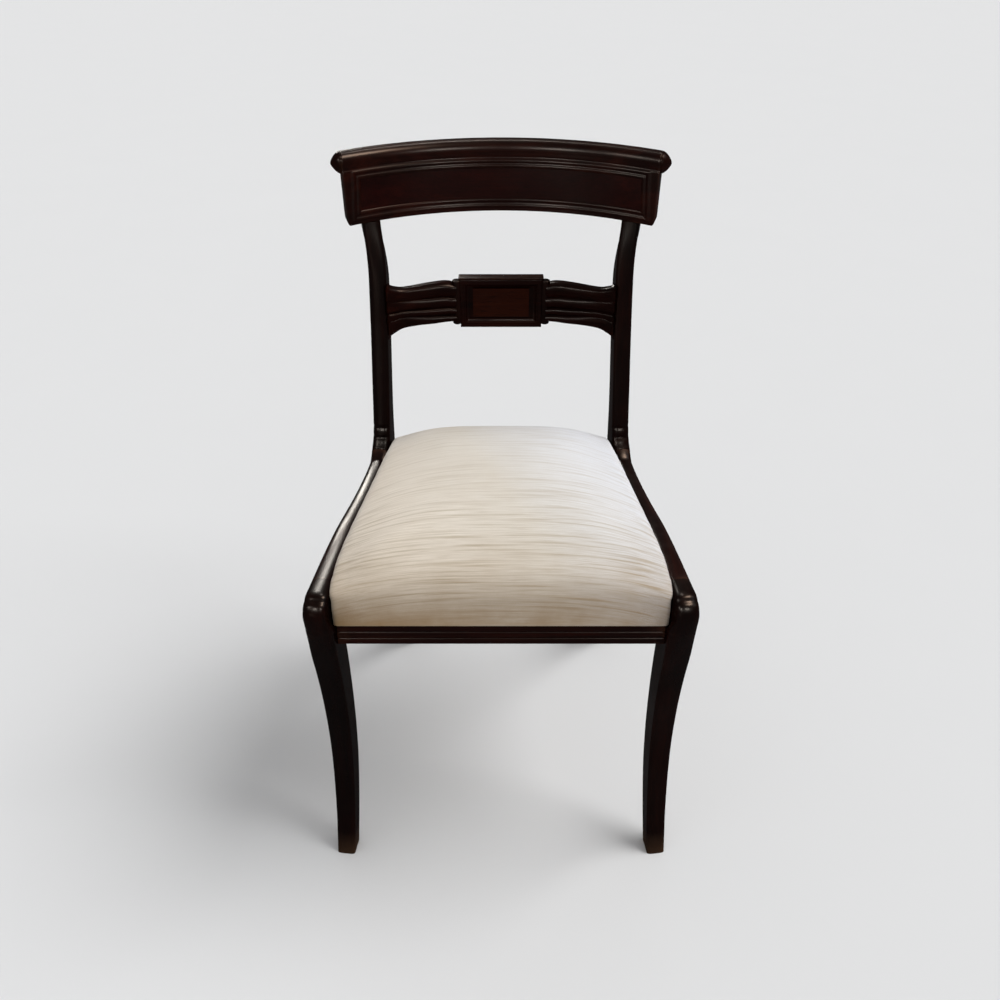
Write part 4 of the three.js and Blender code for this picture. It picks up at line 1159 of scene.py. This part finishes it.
collarX = mid["tabletSize"][0] / 2 + mid["collarShare"] * mid["collarRadius"]
collarY = midCentre + math.sqrt(mid["bow"] ** 2 - collarX ** 2) + mid["collarRadius"] / 2
for name, mirrored in bothSides:
    bm = bmesh.new()
    bmesh.ops.create_cone(bm, cap_ends=True, segments=36, radius1=mid["collarRadius"],
                          radius2=mid["collarRadius"], depth=mid["collarHeight"])
    rims = [edge for edge in bm.edges if abs(edge.verts[0].co.z - edge.verts[1].co.z) < 1e-6]
    bevelled(bm, rims, mid["collarRound"])
    bmesh.ops.translate(bm, vec=(collarX, collarY, mid["height"]), verts=bm.verts)
    addPiece(f"turned_collar_{name}", bm, ["mid_rail"], woodUp, sharp=45, mirrored=mirrored)
print("made the mid rail")

# The seat's cushion, blown up from a plain form by the cloth solver
cushion = {
    "edge": 0.485,  # top of the sides
    "crown": 0.5015,
    "cornerDrop": 0.023,
    "round": 0.0234,  # along the sides
    "frontRound": 0.034,
    "backRound": 0.027,
    "turn": 1.21,
    "play": 0.0004,
    "cornerPower": 90,
    "cornerSteps": 24,
    "dropPower": 4,
    "dropFrom": 0.025,  # over the ledge
    "crownPower": 2.2,
    "start": 0.0004,  # how much smaller it starts
    "voxel": 0.005,
    "pressure": 4,
    "stiffness": 40,
    "bending": 12,
    "shrink": 0.015,
    "frames": 20,
    "cap": 0.0014,  # how far the cloth solver may move a point
    "heldTo": 0.434,
    "heldFade": 0.012,
    "skirtFrom": 0.93,  # from this size outwards a point belongs to the skirt
    "pushFade": 0.03,
    "backTo": 0.06,  # up to here, over the ledge, the back stays flat
    "spill": (0.0082, -0.0028),  # how far it swells over the rails, at the front and at the back
    "spillEnd": 0.9,  # as a share of the side frames' depth
    "spillFrom": 0.010,  # under and over the rail's top
    "spillTo": 0.006,
    "dipEnd": 0.03,
    "pull": 0.027,  # how far the threads are drawn down at the corners
    "skirt": 0.0012,
    "spare": 0.004,  # what is cut off the skirt's lower edge
    "roomUnder": 0.03,  # how far the cut-out for the seat's frame starts under the skirt
    "roomOver": 0.0002,  # and ends over the cloth
    "evening": 3,  # how often the blown mesh is smoothed
}
seatFront, seatBack = seatLow.y, seatHigh.y
seatMiddle, seatHalf = (seatFront + seatBack) / 2, (seatBack - seatFront) / 2


def wellHalf(y):
    along = (y - kneeY) / side["depth"] / math.cos(splay)
    return innerFace(y, mix(side["wallFront"], side["wallBack"], along))


def bulgeAt(y, height):
    # The sides swell over the inner edges of the rails
    along = min(max((y - kneeY) / math.cos(splay), side["legJoint"]), side["railCurveEnd"])
    over = valueAt(railTop, along, 0, 1) if y < seatBack - cushion["dipEnd"] else side["railDip"]
    spill = mix(*cushion["spill"], smooth((y - kneeY) / side["depth"], 0, cushion["spillEnd"]))
    return spill * smooth(height, over - cushion["spillFrom"], over + cushion["spillTo"])


def squarePower(x, y):
    # Is 1 all along a square with tight round corners, from -1 to 1 each way
    return abs(x) ** cushion["cornerPower"] + abs(y) ** cushion["cornerPower"]


def planPoints():
    points = []
    steps = cushion["cornerSteps"]
    for turn in range(4):
        for i in range(steps):
            place = Matrix.Rotation(quarter * turn, 2) @ Vector((1, 2 * i / steps - 1))
            points.append(place * squarePower(*place) ** (-1 / cushion["cornerPower"]))
    return points


def padRings(less):
    front, back = seatFront + less, seatBack - less
    middle, half = (front + back) / 2, (back - front) / 2
    edge, crown = cushion["edge"] - less, cushion["crown"] - less
    bottom = seatLow.z - cushion["spare"]
    square = planPoints()

    def ring(turn, share=1, upright=1):
        # At an angle round the edge, or part of the way up the side, or in to the middle
        made = []
        for x, y in square:
            end = cushion["frontRound"] if y < 0 else cushion["backRound"]
            bend = mix(cushion["round"], end, smooth(abs(y) - abs(x), -0.25, 0.25))
            inset = bend * (1 - math.cos(turn))
            height = mix(bottom, edge - bend * (1 - math.sin(turn)), upright)
            height += (crown - height) * (1 - share ** cushion["crownPower"])
            rise = max(0, (height - ledge - cushion["dropFrom"]) / (edge - ledge - cushion["dropFrom"]))
            angle = abs(x * y * share ** 2) ** cushion["dropPower"] * rise
            deep = middle + y * (half - inset)
            wide = wellHalf(deep) - cushion["play"] - less - inset + bulgeAt(deep, height)
            made.append(Vector((x * wide * share, middle + y * (half - inset) * share,
                                height - cushion["cornerDrop"] * angle)))
        return made

    rings = [ring(0, 1, i / 6) for i in range(7)]
    rings += [ring(i / 8 * cushion["turn"]) for i in range(1, 9)]
    shares = (0.95, 0.88, 0.78, 0.66, 0.52, 0.38, 0.24, 0.12, 0.04)
    rings += [ring(cushion["turn"], share) for share in shares]
    return rings


def evaluated(piece):
    bpy.context.view_layer.update()
    return bpy.data.meshes.new_from_object(piece.evaluated_get(bpy.context.evaluated_depsgraph_get()))


def freeze(piece):
    # Makes what the modifiers show the piece's own mesh
    mesh = evaluated(piece)
    piece.modifiers.clear()
    piece.data = mesh
    return mesh


def freeShare(height):
    return smooth(height, cushion["heldTo"], cushion["heldTo"] + cushion["heldFade"])


def blow(piece):
    # The cloth solver fills the pad out; its skirt is held where it is wrapped round the seat frame
    start = [vert.co.copy() for vert in piece.data.vertices]
    held = piece.vertex_groups.new(name="held")
    for i, co in enumerate(start):
        held.add([i], 1 - freeShare(co.z), "REPLACE")
    cloth = piece.modifiers.new("cloth", "CLOTH").settings
    cloth.use_pressure = True
    cloth.uniform_pressure_force = cushion["pressure"]
    cloth.effector_weights.gravity = 0
    cloth.quality = 6
    cloth.tension_stiffness = cloth.compression_stiffness = cushion["stiffness"]
    cloth.bending_stiffness = cushion["bending"]
    cloth.shrink_min = cushion["shrink"]
    cloth.vertex_group_mass = "held"
    for number in range(1, cushion["frames"] + 1):
        bpy.context.scene.frame_set(number)
    blown = evaluated(piece)
    ends = [vert.co.copy() for vert in blown.vertices]
    piece.modifiers.clear()
    bpy.context.scene.frame_set(1)
    for vert, here, there in zip(piece.data.vertices, start, ends):
        move = there - here
        if move.length > cushion["cap"]:
            move *= cushion["cap"] / move.length
        vert.co = here + move * freeShare(here.z)


def settle(mesh):
    # Keeps the sides inside the side frames and the front behind the knees
    for vert in mesh.vertices:
        co = vert.co
        most = wellHalf(co.y) - cushion["play"]
        over = bulgeAt(co.y, co.z)
        if abs(co.x) > most + over:
            co.x = math.copysign(most + over, co.x)
        # The skirt lies flat round the seat's frame
        share = (co.y - seatMiddle) / seatHalf
        size = squarePower(co.x / most, share) ** (1 / cushion["cornerPower"])
        if size > cushion["skirtFrom"]:
            free = smooth(co.z, cushion["heldTo"], cushion["heldTo"] + cushion["pushFade"])
            push = mix(1 / size, 1, free)
            co.x *= push
            co.y = seatMiddle + share * seatHalf * push
        co.y = max(co.y, seatFront)
        if co.z < ledge + cushion["backTo"]:
            co.y = min(co.y, seatBack)


def addThreads(mesh):
    # Where each point lies along and across the weft, which is pulled down at the corners
    values = []
    for vert in mesh.vertices:
        co = vert.co
        fall = cushion["crown"] - co.z
        share = (co.y - seatMiddle) / seatHalf
        outward = min(1, abs(co.x) / wellHalf(co.y))
        toFront, toBack = smooth(-share, 0.35, 0.95), smooth(share, 0.45, 0.95)
        across = co.y - fall * toFront + fall * toBack + cushion["pull"] * outward ** 3
        along = co.x + math.copysign(fall * smooth(outward, 0.75, 1), co.x)
        values += [along, across, 0]
    mesh.attributes.new("thread", "FLOAT_VECTOR", "POINT").data.foreach_set("vector", values)


def hollow(piece):
    # Cuts out the room under the cover that the seat's frame, webbing and cloth take up
    inside = cushion["skirt"]
    half = seatHalf - inside
    rings = []
    for height in (seatLow.z - cushion["roomUnder"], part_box("base_cloth")[1].z + cushion["roomOver"]):
        plan = [(x, seatMiddle + y * half) for x, y in planPoints()]
        rings.append([Vector((x * (wellHalf(y) - cushion["play"] - inside), y, height)) for x, y in plan])
    mesh = bpy.data.meshes.new("roomUnderCover")
    emptyTo(sweep(rings), mesh)
    room = addObject("roomUnderCover", mesh)
    cutter = piece.modifiers.new("room", "BOOLEAN")
    cutter.operation = "DIFFERENCE"
    cutter.solver = "EXACT"
    cutter.object = room
    freeze(piece)
    bpy.data.objects.remove(room)


def makeCushion():
    bm = sweep(padRings(cushion["start"]))
    cover = addPiece("linen_cushion", bm, ["seat_cover", "stuffing"], linen, sharp=180, body="seat")
    remesh = cover.modifiers.new("remesh", "REMESH")
    remesh.mode = "VOXEL"
    remesh.voxel_size = cushion["voxel"]
    freeze(cover)
    blow(cover)
    bm = bmesh.new()
    bm.from_mesh(cover.data)
    for turn in range(cushion["evening"]):
        bmesh.ops.smooth_vert(bm, verts=bm.verts, factor=0.5, use_axis_x=True, use_axis_y=True,
                              use_axis_z=True)
    emptyTo(bm, cover.data)
    smoother = cover.modifiers.new("smoother", "SUBSURF")
    smoother.levels = smoother.render_levels = 1
    mesh = freeze(cover)
    # The skirt ends just above the ledge
    bm = bmesh.new()
    bm.from_mesh(mesh)
    bmesh.ops.bisect_plane(bm, geom=bm.verts[:] + bm.edges[:] + bm.faces[:],
                           plane_co=(0, 0, seatLow.z), plane_no=(0, 0, 1), clear_inner=True)
    fillHoles(bm)
    emptyTo(bm, mesh)
    settle(mesh)
    hollow(cover)
    paint(cover, linen)
    mesh = cover.data
    mesh.shade_smooth()
    mesh.set_sharp_from_angle(angle=math.radians(60))
    addThreads(mesh)


makeCushion()
print("made the cushion")

# Floor, light and camera
floor = {"colour": (0.72, 0.72, 0.72), "uneven": 0.995, "size": 60}


def makeFloor():
    material, tree, shader, place = startMaterial("paperFloor", 0.95)
    low = tuple(value * floor["uneven"] for value in floor["colour"])
    colour = ramped(tree, noise(tree, place, Scale=6, Detail=3), [(0.3, low), (0.7, floor["colour"])])
    feed(tree, shader, Base_Color=colour, Specular_IOR_Level=0)
    return material


bm = bmesh.new()
bmesh.ops.create_grid(bm, x_segments=1, y_segments=1, size=floor["size"] / 2)
mesh = bpy.data.meshes.new("floor")
emptyTo(bm, mesh)
floorPiece = addObject("floor", mesh)
mesh.materials.append(makeFloor())
for tree in ownTrees:
    arrange(tree)

camera = {
    "distance": 0.8843,  # in front of the knees
    "height": 1.204,
    "pitch": math.radians(34.5),
    "focal": 1.0213,  # shares of the picture's width
    "middle": (0.501, 0.5034),
    "sensor": 36,
}
cameraData = bpy.data.cameras.new("camera")
cameraData.sensor_width = camera["sensor"]
cameraData.lens = camera["focal"] * camera["sensor"]
cameraData.shift_x = 0.5 - camera["middle"][0]
cameraData.shift_y = camera["middle"][1] - 0.5
cameraObject = addObject("camera", cameraData)
cameraObject.location = (0, kneeY - camera["distance"], camera["height"])
cameraObject.rotation_euler = (quarter - camera["pitch"], 0, 0)
bpy.context.scene.camera = cameraObject

world = bpy.data.worlds.new("world")
world.use_nodes = True
bpy.context.scene.world = world
sky = {"horizon": (0.56, 0.56, 0.56), "above": (0.55, 0.555, 0.565)}
tree = world.node_tree
height = split(tree, addNode(tree, "TexCoord").outputs["Generated"])[2]
colour = ramped(tree, height, [(0.0, sky["horizon"]), (0.30, sky["horizon"]), (0.52, sky["above"])])
feed(tree, tree.nodes["Background"], Color=colour, Strength=1.0)
arrange(tree)


def aimed(name, kind, way, power):
    data = bpy.data.lights.new(name, kind)
    data.energy = power
    lamp = addObject(name, data)
    lamp.rotation_euler = way.to_track_quat("-Z", "Y").to_euler()
    return lamp


sun = {"angle": math.radians(38), "power": 2.1, "way": (-1.0, -0.05, -1.28)}
aimed("softSun", "SUN", Vector(sun["way"]), sun["power"]).data.angle = sun["angle"]
# Windows and lamps of the room, which only show as lights on the polish: each one's place, what
# it points at, its size, power and colour
lamps = {
    "lampLeft": ((-0.72, -1.85, 1.90), (0, 0.1, 0.7), (0.4, 0.4), 115, (1, 0.92, 0.82)),
    "lampRight": ((0.72, -1.85, 1.95), (0, 0.1, 0.7), (0.4, 0.4), 115, (1, 0.91, 0.80)),
    "lampAside": ((-1.55, -1.2, 1.95), (-0.1, 0.1, 0.6), (0.5, 0.5), 80, (1, 0.91, 0.80)),
    "lampOver": ((1.1, -0.1, 2.9), (-0.1, 0.2, 0.8), (0.9, 0.5), 360, (1, 0.72, 0.54)),
    "lampAbove": ((0.12, 1.1, 2.9), (0, 0.1, 0.7), (0.3, 0.25), 55, (1, 0.88, 0.78)),
    "lampLow": ((-1.05, -1.95, 0.55), (0, 0.1, 0.8), (0.35, 0.5), 4, (1, 0.76, 0.60)),
    "lampFront": ((0, -2.35, 1.8), (0, 0.1, 0.7), (2.4, 0.12), 5, (1, 0.92, 0.84)),
    "windowBehind": ((-0.86, 2.3, 1.28), (0, 0, 0.45), (0.6, 0.45), 230, (1, 0.95, 0.87)),
    "fanlightBehind": ((-0.74, 2.3, 2.45), (0, 0, 0.45), (0.5, 0.4), 250, (1, 0.95, 0.87)),
}
for name, (place, target, size, power, colour) in lamps.items():
    lamp = aimed(name, "AREA", Vector(target) - Vector(place), power)
    lamp.location = place
    lamp.data.shape = "RECTANGLE"
    lamp.data.size, lamp.data.size_y = size
    lamp.data.color = colour
    lamp.visible_camera = False
    lamp.visible_diffuse = False
print("set the light and the camera")

bpy.context.scene.view_settings.view_transform = "Standard"
